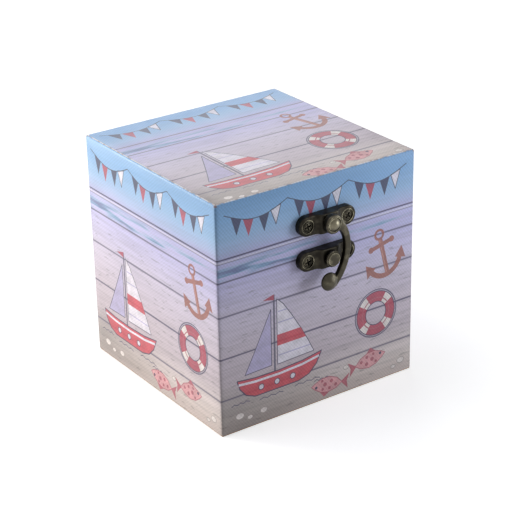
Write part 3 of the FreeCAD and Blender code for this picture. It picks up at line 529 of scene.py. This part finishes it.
def birch_wood():
    """Turned birch, sanded and unvarnished: pale, with fine darker growth lines."""
    material, node, place = new_finish("birch_wood")
    # Growth lines 2.5 mm apart and pores 0.3 mm wide that run along X
    stretched = node("Mapping", {"Vector": place, "Scale": (0.12, 1.0, 1.0)})[0]
    wave = {"Vector": stretched, "Scale": 1 / (2.5 * MM) * WAVE_GAP, "Distortion": 5.0, "Detail": 3.0,
            "Detail Scale": 1.5}
    rings = node("TexWave", wave, bands_direction="Y")[1]
    pores = node("TexNoise", {"Vector": stretched, "Scale": 1 / (0.3 * MM), "Detail": 2.0})[0]
    mixed = node("Math", [pores, 0.5, rings], operation="MULTIPLY_ADD")[0]
    tone = node("ValToRGB", [mixed], stops=[(0.2, "#C79F6B"), (0.7, "#DDBD8D"), (1.0, "#E8CFA4")])[0]
    bump = node("Bump", {"Strength": 0.2, "Distance": 0.05 * MM, "Height": pores})[0]
    return coated(material, Base_Color=tone, Roughness=0.6, Normal=bump, Specular_IOR_Level=0.35)


def spring_steel():
    """Drawn spring wire with a phosphate coat: dark grey with a soft metal shine."""
    material, node, place = new_finish("spring_steel")
    # Uneven coat in 2 mm patches
    coat = node("TexNoise", {"Vector": place, "Scale": 1 / (2 * MM), "Detail": 4.0})[0]
    tone = node("ValToRGB", [coat], stops=[(0.35, "#4E5054"), (0.65, "#7C7F84")])[0]
    polish = node("MapRange", [coat, 0, 1, 0.28, 0.45])[0]
    return coated(material, Base_Color=tone, Roughness=polish, Metallic=1.0)


def cotton(name, stops, axis, repeats, cloth, thread, shades, bump, **sockets):
    """Woven cotton, matt: colours that follow one axis of the cloth, and a plain weave of threads in mm on a
    cloth whose size is in mm, with two shades of thread and a bump of the given strength and depth in mm."""
    material, node, uv = new_finish(name, "cloth")
    place = node("SeparateXYZ", [uv])[axis]
    if repeats > 1:
        turn = node("Math", [place, repeats], operation="MULTIPLY")[0]
        place = node("Math", [turn], operation="FRACT")[0]
    dyed = node("ValToRGB", [place], stops=stops)[0]
    counted = node("Mapping", {"Vector": uv, "Scale": (cloth[0] / thread, cloth[1] / thread, 1.0)})[0]
    weave = node("TexChecker", {"Vector": counted, "Scale": 1.0})[1]
    shade = node("MapRange", [weave, 0, 1, shades[0], shades[1]])[0]
    tone = node("VectorMath", [dyed, shade], operation="MULTIPLY")[0]
    relief = node("Bump", {"Strength": bump[0], "Distance": bump[1] * MM, "Height": weave})[0]
    return coated(material, Base_Color=tone, Normal=relief, Specular_IOR_Level=0.2, **sockets)


# The painted face: middle of the head, then each brush mark as its bearing to the right and its height in
# degrees, half width and half height in mm, tilt in degrees, softness of its edge and paint
HEAD_MIDDLE = (0.0, 0.0, 56.2)
HEAD_RADIUS = 19.5
BRUSH_REACH = 8.0
PAIRED_MARKS = (
    (39, -13, 4.2, 3.8, 0, 0.9, "#E39A94"),
    (21, 15, 3.0, 3.7, 0, 0.06, "#F6F1EA"),
    (20, 14.4, 1.75, 2.2, 0, 0.1, "#39557E"),
    (19.6, 14.2, 0.95, 1.25, 0, 0.15, "#1C1A20"),
    (20.6, 16.6, 0.5, 0.55, 0, 0.2, "#FFFFFF"),
    (22.5, 31, 3.3, 0.75, 9, 0.2, "#7A4A33"))
FACE_MARKS = [(side * az, el, wide, high, side * tilt, soft, paint)
              for side in (-1, 1) for az, el, wide, high, tilt, soft, paint in PAIRED_MARKS]
FACE_MARKS += [(0, -26, 7.6, 4.2, 0, 0.05, "#B93B48"), (0, -19.5, 8.8, 4.4, 0, 0.04, "#F0D9C6")]


def bearing(turn, lift):
    """The direction that is turned to the right of the front, and lifted, by two angles."""
    return Vector((math.sin(turn) * math.cos(lift), -math.cos(turn) * math.cos(lift), math.sin(lift)))


def painted_wood():
    """Turned wood under brushed enamel: a warm skin tone with a satin gloss, fine brush marks and a painted
    face."""
    material, node, place = new_finish("painted_wood")
    # Thin and thick paint in 9 mm clouds, and brush marks 0.7 mm wide that run round the head
    clouds = node("TexNoise", {"Vector": place, "Scale": 1 / (9 * MM), "Detail": 3.0})[0]
    brushed = node("Mapping", {"Vector": place, "Scale": (0.1, 0.1, 1.0)})[0]
    brush = node("TexNoise", {"Vector": brushed, "Scale": 1 / (0.7 * MM), "Detail": 2.0})[0]
    colour = node("ValToRGB", [clouds], stops=[(0.3, "#EBD2BE"), (0.7, "#F3DECC")])[0]
    for az, el, wide, high, tilt, soft, paint in FACE_MARKS:
        turn, lift = math.radians(az), math.radians(el)
        middle = (Vector(HEAD_MIDDLE) + bearing(turn, lift) * HEAD_RADIUS) * MM
        own = node("Mapping", {
            "Vector": place, "Location": middle, "Rotation": (-lift, math.radians(tilt), turn),
            "Scale": (wide * MM, BRUSH_REACH * MM, high * MM)}, vector_type="TEXTURE")[0]
        blob = node("TexGradient", {"Vector": own}, gradient_type="SPHERICAL")[1]
        mark = node("MapRange", [blob, 0, soft], interpolation_type="SMOOTHSTEP")[0]
        colour = node("Mix", {0: mark, 6: colour, 7: linear(paint)}, data_type="RGBA")[2]
    polish = node("MapRange", [clouds, 0, 1, 0.3, 0.42])[0]
    bump = node("Bump", {"Strength": 0.15, "Distance": 0.05 * MM, "Height": brush})[0]
    return coated(material, Base_Color=colour, Roughness=polish, Normal=bump, IOR=1.5)


PRINT = printed_paper()
BRONZE = antique_bronze("antique_bronze", wear=0.0, edge_rub_and_highlight=0.85)
SCREW_BRONZE = antique_bronze("antique_bronze_screws", wear=0.02, edge_rub_and_highlight=0.5)
# The rivet's copy is lighter all over: worn by contact, and a painted highlight as well
RIVET_BRONZE_WORN_AND_LIT = antique_bronze("antique_bronze_rivet_worn_and_lit", wear=0.15, edge_rub_and_highlight=0.85)
# Medium-density fibreboard, sawn: even tan with 0.6 mm fibres, 15 mm clouds and a matt, slightly furry cut
BOARD = grained("fibreboard", [(0.45, "#9F7B52"), (0.8, "#B48E62"), (1.0, "#C29E74")], broad=(15, 2.0, 0.5),
                fine=(0.6, 5.0, 0.5), share=0.65, bump=(0.4, 0.08), Roughness=0.85, Specular_IOR_Level=0.25)
BIRCH = birch_wood()
WIRE = spring_steel()
# The sleeve: sixteen pairs of printed stripes, each about 5.6 mm wide. Both cloths show about half as many
# threads as real ones have.
SLEEVE = cotton("sleeve_cotton", [(0.0, "#EFE6D6"), (0.47, "#EFE6D6"), (0.5, "#B8414C"), (0.97, "#B8414C"),
                                  (1.0, "#EFE6D6")], axis=0, repeats=16.0, cloth=(180, 125), thread=0.9,
                shades=(0.9, 1.03), bump=(0.4, 0.12), Roughness=0.88, Sheen_Weight=0.15)
# The ruff: bleached lawn with a crimson overlocked rim, in flounces of about 290 by 27 mm
RUFF = cotton("ruff_cotton", [(0.0, "#E7E2E4"), (0.91, "#F2EFEF"), (0.935, "#B3475C"), (1.0, "#B3475C")],
              axis=1, repeats=1.0, cloth=(290, 27), thread=0.8, shades=(0.93, 1.02), bump=(0.3, 0.08),
              Roughness=0.85, Sheen_Weight=0.1)
ENAMEL = painted_wood()
# Wood under dipped red lacquer: deep, glossy and faintly uneven, with runs of the dip about 4 mm apart
LACQUER = grained("nose_lacquer", [(0.3, "#A8202C"), (0.7, "#C5303A")], broad=(4, 2.0, 0.5),
                  fine=(4, 2.0, 0.5), share=0.0, bump=(0.1, 0.2), Roughness=0.16, IOR=1.5, Coat_Weight=0.6,
                  Coat_Roughness=0.08)
HAIR = wool("hair_wool", "#A6522A", "#CF7A3C")
YARN = wool("pompom_wool", "#A33644", "#C95663")
# Pressed wool felt: deep blue and matt, with a nap of 0.5 mm fibres and 6 mm clouds of the pressing
FELT = grained("hat_felt", [(0.5, "#2F4A78"), (1.0, "#5577A8")], broad=(6, 3.0, 0.5), fine=(0.5, 5.0, 0.7),
               share=0.6, bump=(0.6, 0.15), Roughness=0.95, Sheen_Weight=0.4, Sheen_Roughness=0.4,
               Specular_IOR_Level=0.15)

# Nodes whose solid is right as it is get their finish
FINISHES = {
    BOARD: ["base_board", "lid_top_board"] + [f"{ring}_{side}" for ring in ("box_wall", "lid_rail")
                                              for side in ("front", "back", "left", "right")],
    RIVET_BRONZE_WORN_AND_LIT: ["hook_rivet"],
    BRONZE: ["catch_plate", "catch_stud", "hook_plate", "latch_hook"]
            + [f"hinge_{side}_{part}" for side in ("left", "right")
               for part in ("box_leaf", "lid_leaf", "pin")],
    BIRCH: ["spring_seat", "jack_disc", "jack_neck"],
    ENAMEL: ["jack_head"],
    LACQUER: ["jack_nose"],
}
for finish, names in FINISHES.items():
    for name in names:
        for place in NODES[name].material_slots:
            place.material = finish


def dress(thing, finish, slot, *nodes):
    """Give a piece its finish and hide the nodes that it stands for; slot is not used."""
    thing.data.materials.clear()
    thing.data.materials.append(finish)
    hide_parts(*nodes)
    return thing


box_cover = thickened(paper_cover("box_cover", BOX_LOW, BOX_HIGH, False), PAPER)
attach(dress(box_cover, PRINT, "printed_paper", "box_paper"), "box")
lid_cover = thickened(paper_cover("lid_cover", LID_LOW, TOTAL - CORNER, True), PAPER)
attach(dress(lid_cover, PRINT, "printed_paper", "lid_paper"), "lid")


# Pieces that repeat or follow a rule, made by node trees
def new_tree(name, sizes):
    """A geometry tree with named inputs for its sizes, and the means to add its nodes."""
    tree = bpy.data.node_groups.new(name, "GeometryNodeTree")
    tree.interface.new_socket("Geometry", in_out="INPUT", socket_type="NodeSocketGeometry")
    for label in sizes:
        tree.interface.new_socket(label, in_out="INPUT", socket_type="NodeSocketFloat")
    tree.interface.new_socket("Geometry", in_out="OUTPUT", socket_type="NodeSocketGeometry")
    node = partial(add, tree)
    return tree, node, node("GroupInput")


def close_tree(tree, made, finish):
    """End a tree in plain mesh with its finish."""
    plain = add(tree, "RealizeInstances", [made])[0]
    smooth = add(tree, "SetShadeSmooth", {0: plain, 2: True})[0]
    finished = add(tree, "SetMaterial", {0: smooth, 2: finish})[0]
    add(tree, "GroupOutput", [finished])
    return tree


def grown(thing, tree, lengths, **others):
    """Run a tree on a piece and keep what it makes as a plain mesh; lengths are in mm, others not."""
    modifier = thing.modifiers.new("tree", "NODES")
    modifier.node_group = tree
    sockets = {item.name: item.identifier for item in tree.interface.items_tree if item.in_out == "INPUT"}
    for label, length in lengths.items():
        modifier[sockets[label]] = length * MM
    for label, size in others.items():
        modifier[sockets[label]] = size
    return applied(thing)


def loose_points(name, spots):
    """A piece of loose points, for a tree to start from."""
    mesh = bmesh.new()
    for spot in spots:
        mesh.verts.new(Vector(spot) * MM)
    return piece_from(name, mesh)


SLOT_SINK, CROSS_SHARE = -0.42, 0.92
FIRST_TWIST, NEXT_TWIST = 0.25, 0.7


def screw_tree():
    """Cross-slot screws: a low domed head with its recess, on a short shank, along +Z."""
    tree, node, given = new_tree("cross_slot_screws", (
        "Head radius", "Head rise", "Slot length", "Slot width", "Slot depth", "Shank radius", "Shank length",
        "Facing"))
    head = node("MeshUVSphere", {"Segments": 32, "Rings": 24, "Radius": 1.0})[0]
    wide, rise = given["Head radius"], given["Head rise"]
    deep, long = given["Slot depth"], given["Shank length"]
    flat = node("CombineXYZ", [wide, wide, rise])[0]
    head = node("Transform", {"Geometry": head, "Scale": flat})[0]
    sink = node("Math", [deep, SLOT_SINK, rise], operation="MULTIPLY_ADD")[0]
    centre = node("CombineXYZ", [0, 0, sink])[0]
    slot = [given["Slot length"], given["Slot width"]]
    for (first, second), share in ((slot, 1.0), (slot[::-1], CROSS_SHARE)):
        depth = node("Math", [deep, share], operation="MULTIPLY")[0]
        size = node("CombineXYZ", [first, second, depth])[0]
        bar = node("MeshCube", {"Size": size})[0]
        bar = node("Transform", {"Geometry": bar, "Translation": centre})[0]
        head = node("MeshBoolean", [head, bar], operation="DIFFERENCE")[0]
    thick = given["Shank radius"]
    shank = node("MeshCylinder", {"Vertices": 20, "Radius": thick, "Depth": long})[0]
    reach = node("Math", [long, deep], operation="ADD")[0]
    drop = node("Math", [reach, -0.5], operation="MULTIPLY")[0]
    below = node("CombineXYZ", [0, 0, drop])[0]
    shank = node("Transform", {"Geometry": shank, "Translation": below})[0]
    screw = node("JoinGeometry", [[head, shank]])[0]
    number = node("InputIndex")[0]
    twist = node("Math", [number, NEXT_TWIST, FIRST_TWIST], operation="MULTIPLY_ADD")[0]
    facing = node("CombineXYZ", [given["Facing"]])[0]
    own = node("CombineXYZ", [0, 0, twist])[0]
    turn = node("RotateEuler", {0: facing, "Rotate By": own}, space="LOCAL")[0]
    placed = node("InstanceOnPoints", {"Points": given["Geometry"], "Instance": screw, "Rotation": turn})[0]
    return close_tree(tree, placed, SCREW_BRONZE)


SCREWS = screw_tree()
FRONTWARD, BACKWARD = math.pi / 2, -math.pi / 2
LATCH_SCREW = {"Head radius": 2.1, "Head rise": 0.5, "Slot length": 3.1, "Slot width": 0.9, "Slot depth": 0.8,
               "Shank radius": 0.9, "Shank length": 6.1}
HINGE_SCREW = {"Head radius": 1.7, "Head rise": 0.8, "Slot length": 2.1, "Slot width": 0.5, "Slot depth": 0.8,
               "Shank radius": 0.9, "Shank length": 5.0}
SCREW_ROOM = 5.0
LATCH_FACE, LEAF_FACE = -52.5, 50.9


def screw_places(solid, face_y):
    """The middles of a solid's screws, at the height where their heads sit."""
    groups = []
    for vertex in NODES[solid].data.vertices:
        x, _, z = vertex.co / MM
        near = [group for group in groups if math.hypot(x - group[0][0], z - group[0][1]) <= SCREW_ROOM]
        if not near:
            near = [[]]
            groups += near
        near[0].append((x, z))
    sides = [zip(*group) for group in groups]
    return [((min(xs) + max(xs)) / 2, face_y, (min(zs) + max(zs)) / 2) for xs, zs in sides]


for name, solid, body, lengths, face_y, facing in (
        ("catch_plate_screw_heads", "catch_screws", "box", LATCH_SCREW, LATCH_FACE, FRONTWARD),
        ("hook_plate_screw_heads", "hook_plate_screws", "lid", LATCH_SCREW, LATCH_FACE, FRONTWARD),
        ("box_leaf_screw_heads", "box_hinge_screws", "box", HINGE_SCREW, LEAF_FACE, BACKWARD),
        ("lid_leaf_screw_heads", "lid_hinge_screws", "lid", HINGE_SCREW, LEAF_FACE, BACKWARD)):
    screws = grown(loose_points(name, screw_places(solid, face_y)), SCREWS, lengths, Facing=facing)
    screws.data.set_sharp_from_angle(angle=SHARP_SLOT)
    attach(dress(screws, SCREW_BRONZE, "antique_bronze", solid), body)


def spring_tree():
    """A coil spring of round wire."""
    tree, node, given = new_tree("coil_spring", ("Radius", "Height", "Turns", "Wire radius", "Foot"))
    coil = node("CurveSpiral", {
        "Resolution": 48, "Rotations": given["Turns"], "Start Radius": given["Radius"],
        "End Radius": given["Radius"], "Height": given["Height"]})[0]
    section = node("CurvePrimitiveCircle", {"Resolution": 12, "Radius": given["Wire radius"]})[0]
    wire = node("CurveToMesh", {"Curve": coil, "Profile Curve": section, "Fill Caps": True})[0]
    foot = node("CombineXYZ", [0, 0, given["Foot"]])[0]
    raised = node("Transform", {"Geometry": wire, "Translation": foot})[0]
    return close_tree(tree, raised, WIRE)


SPRING_FOOT, SPRING_HEAD, SPRING_PITCH = 6.1, 29.3, 5.0
SPRING_LONG = SPRING_HEAD - SPRING_FOOT
COIL_RADIUS, WIRE_RADIUS = 21.0, 1.05
SPRING = {"Radius": COIL_RADIUS, "Height": SPRING_LONG, "Wire radius": WIRE_RADIUS, "Foot": SPRING_FOOT}
spring = grown(loose_points("spring_wire", []), spring_tree(), SPRING, Turns=SPRING_LONG / SPRING_PITCH)
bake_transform(dress(spring, WIRE, "spring_steel", "jack_spring"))


def ring_point(radius, angle, height):
    """A point at a radius and an angle round the upright middle."""
    return (radius * math.cos(angle), radius * math.sin(angle), height)


def unevenness(angle, reach, layer):
    """A smooth change round a ring, from about -1 to 1: the more reach, the quicker it goes."""
    return noise.noise(Vector(ring_point(reach, angle, layer)))


def round_sheet(name, turns, rows, point):
    """A closed ring of cloth from a rule that gives each point by its share round and its share along."""
    mesh = bmesh.new()
    uv = mesh.loops.layers.uv.new("cloth")
    grid = [[mesh.verts.new(Vector(point(step / turns, row / rows)) * MM) for step in range(turns)]
            for row in range(rows + 1)]
    for row in range(rows):
        for step in range(turns):
            corners = ((step, row), (step + 1, row), (step + 1, row + 1), (step, row + 1))
            face = mesh.faces.new([grid[b][a % turns] for a, b in corners])
            face.smooth = True
            for loop, (a, b) in zip(face.loops, corners):
                loop[uv].uv = (a / turns, b / rows)
    bmesh.ops.remove_doubles(mesh, verts=mesh.verts, dist=WELD_M)
    return piece_from(name, mesh)


SLEEVE_FOOT, SLEEVE_HEAD = 5.4, 33.9
SLEEVE_LONG, SLEEVE_CLOTH = SLEEVE_HEAD - SLEEVE_FOOT, 0.4
SLEEVE_STEPS, SLEEVE_ROWS = 192, 112
SLEEVE_FOLDS, FOLD_ROUNDING = 7, 0.4
FOLD_PITCH = SLEEVE_LONG / SLEEVE_FOLDS
FOLD_VALLEY, FOLD_DEPTH, DEPTH_CHANGE = 25.3, 6.6, 1.2
FOLD_SAG, SAG_CHANGE, TACKED_SHARE = 0.5, 0.25, 1 / 12
# Gathers round each roll: their height, their number, and their shift from one roll to the next
GATHERS = ((0.35, 16, 1.9), (0.25, 27, 4.1))
VALLEY_GATHERS = 0.35
ROLL_REACH, ROLL_LAYER = 1.4, 3.7


def sleeve_point(around, along):
    """The sleeve lies in soft rolls between its tacked ends, with small gathers that differ by roll."""
    angle = around * math.tau
    wave = math.tau * SLEEVE_FOLDS * along
    roll = (1 - math.cos(wave)) / 2
    number = int(min(along * SLEEVE_FOLDS, SLEEVE_FOLDS - 1))
    change = unevenness(angle, ROLL_REACH, number * ROLL_LAYER)
    gather = sum(high * math.sin(count * angle + shift * number) for high, count, shift in GATHERS)
    radius = FOLD_VALLEY + (FOLD_DEPTH + DEPTH_CHANGE * change) * roll
    radius += gather * (VALLEY_GATHERS + (1 - VALLEY_GATHERS) * roll)
    free = min(1.0, min(along, 1 - along) / TACKED_SHARE)
    height = SLEEVE_FOOT + SLEEVE_LONG * along + (SAG_CHANGE * change - FOLD_SAG * roll) * free
    height += FOLD_ROUNDING * FOLD_PITCH / (2 * math.tau) * math.sin(2 * wave)
    return ring_point(radius, angle, height)


sleeve = thickened(round_sheet("sleeve_cloth", SLEEVE_STEPS, SLEEVE_ROWS, sleeve_point), SLEEVE_CLOTH)
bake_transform(dress(sleeve, SLEEVE, "sleeve_cotton", "jack_sleeve"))

RUFF_INNER, RUFF_CLOTH = 6.6, 0.3
RUFF_PLEATS, PLEAT_STEPS, RUFF_ROWS = 22, 14, 20
PLEAT_START, PLEAT_GROWTH, PLEAT_CURVE, PLEAT_LEAN, PLEAT_SHIFT = 0.3, 1.75, 1.3, 0.5, 0.5
RUFF_CHANGE, RUFF_REACH = 0.35, 2.0


def ruff_layer(name, outer, level):
    """One flounce of the ruff, pleated towards its rim."""
    def ruff_point(around, along):
        angle = around * math.tau
        change = RUFF_CHANGE * unevenness(angle, RUFF_REACH, outer)
        pleat = math.sin(RUFF_PLEATS * angle + PLEAT_SHIFT * change)
        depth = PLEAT_START + PLEAT_GROWTH * along ** PLEAT_CURVE
        radius = RUFF_INNER + (outer - RUFF_INNER) * along - PLEAT_LEAN * along * pleat
        return ring_point(radius, angle, level + depth * pleat + change * along)
    layer = thickened(round_sheet(name, RUFF_PLEATS * PLEAT_STEPS, RUFF_ROWS, ruff_point), RUFF_CLOTH)
    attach(dress(layer, RUFF, "ruff_cotton", "jack_ruff"), "jack")
    return layer


lower = ruff_layer("ruff_lower_flounce", outer=32.6, level=37.0)
upper = ruff_layer("ruff_upper_flounce", outer=26.0, level=38.3)

# The felt hat over the head, with a rolled brim: radius and height from the brim to the tip
HAT_PROFILE = [(14.6, 69.3), (15.2, 68.8), (16.1, 68.75), (16.8, 69.4), (17.0, 70.4), (16.6, 71.4),
               (15.8, 72.1), (14.7, 72.3), (13.5, 74.0), (11.6, 77.0), (9.4, 80.4), (7.0, 84.0), (4.6, 87.4),
               (3.0, 88.9), (0.0, 89.2)]
HAT_STEPS, HAT_ROWS, HAT_FELT = 72, len(HAT_PROFILE) - 1, 1.0
FELT_CHANGE, FELT_REACH, FELT_LAYER, CALM_RADIUS = 0.35, 1.6, 6.0, 6.0


def hat_point(around, along):
    """The hat's cone and brim, with the unevenness of pressed felt, which dies away towards the tip."""
    angle = around * math.tau
    radius, height = HAT_PROFILE[round(along * HAT_ROWS)]
    change = FELT_CHANGE * unevenness(angle, FELT_REACH, height / FELT_LAYER)
    return ring_point(radius + change * min(radius / CALM_RADIUS, 1), angle, height)


hat = round_sheet("felt_hat", HAT_STEPS, HAT_ROWS, hat_point)
smoothing = hat.modifiers.new("smoothing", "SUBSURF")
smoothing.levels = smoothing.render_levels = 1
hat = thickened(applied(hat), HAT_FELT)
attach(dress(hat, FELT, "hat_felt", "jack_hat"), "jack")

DENSEST = 6.0e6
YARN_LEAN, YARN_SPIN = 0.45, 3.1
SHORTEST, LONGEST = 0.8, 1.1


def yarn_tree(name, finish, curl, swell):
    """Short ends of yarn that stand out all over a ball: curl is their turns, and swell how many times wider
    than the yarn's radius those are."""
    tree, node, given = new_tree(name, ("Spacing", "Length", "Yarn radius"))
    points = node("DistributePointsOnFaces", {
        "Mesh": given["Geometry"], "Distance Min": given["Spacing"], "Density Max": DENSEST, "Seed": 7},
        distribute_method="POISSON")
    wide = node("Math", [given["Yarn radius"], swell], operation="MULTIPLY")[0]
    strand = node("CurveSpiral", {
        "Resolution": 8, "Rotations": curl, "Start Radius": wide, "End Radius": wide,
        "Height": given["Length"]})[0]
    section = node("CurvePrimitiveCircle", {"Resolution": 5, "Radius": given["Yarn radius"]})[0]
    yarn = node("CurveToMesh", {"Curve": strand, "Profile Curve": section, "Fill Caps": True})[0]
    lean = node("RandomValue", {
        0: (-YARN_LEAN, -YARN_LEAN, -YARN_SPIN), 1: (YARN_LEAN, YARN_LEAN, YARN_SPIN), "Seed": 3},
        data_type="FLOAT_VECTOR")[0]
    turn = node("RotateRotation", [points["Rotation"], lean], rotation_space="LOCAL")[0]
    grow = node("RandomValue", {2: SHORTEST, 3: LONGEST, "Seed": 5}, data_type="FLOAT")[1]
    ends = node("InstanceOnPoints", {
        "Points": points[0], "Instance": yarn, "Rotation": turn, "Scale": grow})[0]
    whole = node("JoinGeometry", [[ends, given["Geometry"]]])[0]
    return close_tree(tree, whole, finish)


def cores(name, middles, radius):
    """Balls that yarn grows from."""
    mesh = bmesh.new()
    for middle in middles:
        bmesh.ops.create_icosphere(mesh, subdivisions=3, radius=radius * MM,
                                   matrix=Matrix.Translation(Vector(middle) * MM))
    return piece_from(name, mesh)


TUFTS, TUFT_CORE = [(-22.0, 0.0, 56.2), (22.0, 0.0, 56.2)], 3.9
POMPOM, POMPOM_CORE = (0.0, 0.0, 91.7), 2.6
hair = grown(cores("wool_hair", TUFTS, TUFT_CORE), yarn_tree("wool_curls", HAIR, curl=1.1, swell=2.2),
             {"Spacing": 1.5, "Length": 1.7, "Yarn radius": 0.5})
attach(dress(hair, HAIR, "hair_wool", "jack_hair"), "jack")
pompom = grown(cores("yarn_pompom", [POMPOM], POMPOM_CORE), yarn_tree("yarn_ends", YARN, curl=0.1, swell=1.0),
               {"Spacing": 0.55, "Length": 1.4, "Yarn radius": 0.24})
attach(dress(pompom, YARN, "pompom_wool", "hat_pompom"), "jack")


# Studio: a pale floor in an even pale room. A large light stands high at the back left and a small one low
# behind it, one stands at the back right, and a weak one close to the front's right.
def soft_light(name, place, size, power, aim=(0.0, 0.0, 0.05), tint="#FFFFFF"):
    """A square area light that points at the box; places and sizes are in metres."""
    data = bpy.data.lights.new(name, "AREA")
    data.size = size
    data.energy = power
    data.color = linear(tint)[:3]
    lamp = bpy.data.objects.new(name, data)
    lamp.location = place
    lamp.rotation_euler = (Vector(aim) - Vector(place)).to_track_quat("-Z", "Y").to_euler()
    bpy.context.scene.collection.objects.link(lamp)


soft_light("key_light", (-0.5, 0.45, 1.15), 0.9, 8.6, tint="#FAFBFF")
soft_light("low_light", (-0.62, 0.72, 0.1), 0.2, 7.5, tint="#FFF8EC")
soft_light("back_light", (0.42, 0.76, 0.45), 0.4, 1.2, aim=(0.0, 0.0, 0.1))
soft_light("side_light", (0.3, -0.28, 0.12), 0.2, 0.66, aim=(0.05, -0.05, 0.05), tint="#F3F8FF")


def seen_rays(node):
    """One for rays that show the background itself or its reflection, nought for light on the object."""
    path = node("LightPath")
    shiny = node("Math", [path["Is Camera Ray"], path["Is Glossy Ray"]], operation="MAXIMUM")[0]
    return node("Math", [shiny, path["Is Transmission Ray"]], operation="MAXIMUM")[0]


ROOM_FILL = 0.17
FLOOR_HALF_M, FLOOR_GREY, FLOOR_GLOW = 3.0, 0.7, 0.62
world = bpy.data.worlds.new("studio_room")
paint = bpy.data.materials.new("floor_paint")
for backing in (world, paint):
    backing.use_nodes = True
    backing.node_tree.nodes.clear()
node = partial(add, world.node_tree)
room = node("MapRange", [seen_rays(node), 0, 1, ROOM_FILL, 1.0])[0]
backdrop = node("Background", {"Color": (1.0, 1.0, 1.0, 1.0), "Strength": room})[0]
node("OutputWorld", {"Surface": backdrop})
bpy.context.scene.world = world

node = partial(add, paint.node_tree)
matt = node("BsdfDiffuse", {"Color": (FLOOR_GREY, FLOOR_GREY, FLOOR_GREY, 1.0)})[0]
glow = node("Math", [seen_rays(node), FLOOR_GLOW], operation="MULTIPLY")[0]
white = node("Emission", {"Strength": glow})[0]
both = node("AddShader", [matt, white])[0]
node("OutputMaterial", {"Surface": both})
floor_data = bpy.data.meshes.new("floor")
floor_corners = [(x * FLOOR_HALF_M, y * FLOOR_HALF_M, 0) for x, y in ((-1, -1), (1, -1), (1, 1), (-1, 1))]
floor_data.from_pydata(floor_corners, [], [(0, 1, 2, 3)])
floor_data.materials.append(paint)
floor = bpy.data.objects.new("floor", floor_data)
bpy.context.scene.collection.objects.link(floor)

# The photograph's view
AZIMUTH, ELEVATION, ROLL = math.radians(-34.82), math.radians(24.76), math.radians(-1.151)
AIM, DISTANCE_M = Vector((7.8, 0.0, 43.5)) * MM, 0.7457
SENSOR, FOCAL_LENGTH, NEAREST_M = 36.0, 115.35, 0.01
back = bearing(AZIMUTH, ELEVATION)
right = Vector((math.cos(AZIMUTH), math.sin(AZIMUTH), 0))
axes = Matrix((right, back.cross(right), back)).transposed()
lens = bpy.data.cameras.new("camera")
lens.sensor_width = SENSOR
lens.lens = FOCAL_LENGTH
lens.clip_start = NEAREST_M
camera = bpy.data.objects.new("camera", lens)
stand = Matrix.Translation(AIM + back * DISTANCE_M)
camera.matrix_world = stand @ axes.to_4x4() @ Matrix.Rotation(ROLL, 4, "Z")
bpy.context.scene.collection.objects.link(camera)
bpy.context.scene.camera = camera
bpy.context.scene.view_settings.view_transform = "Standard"
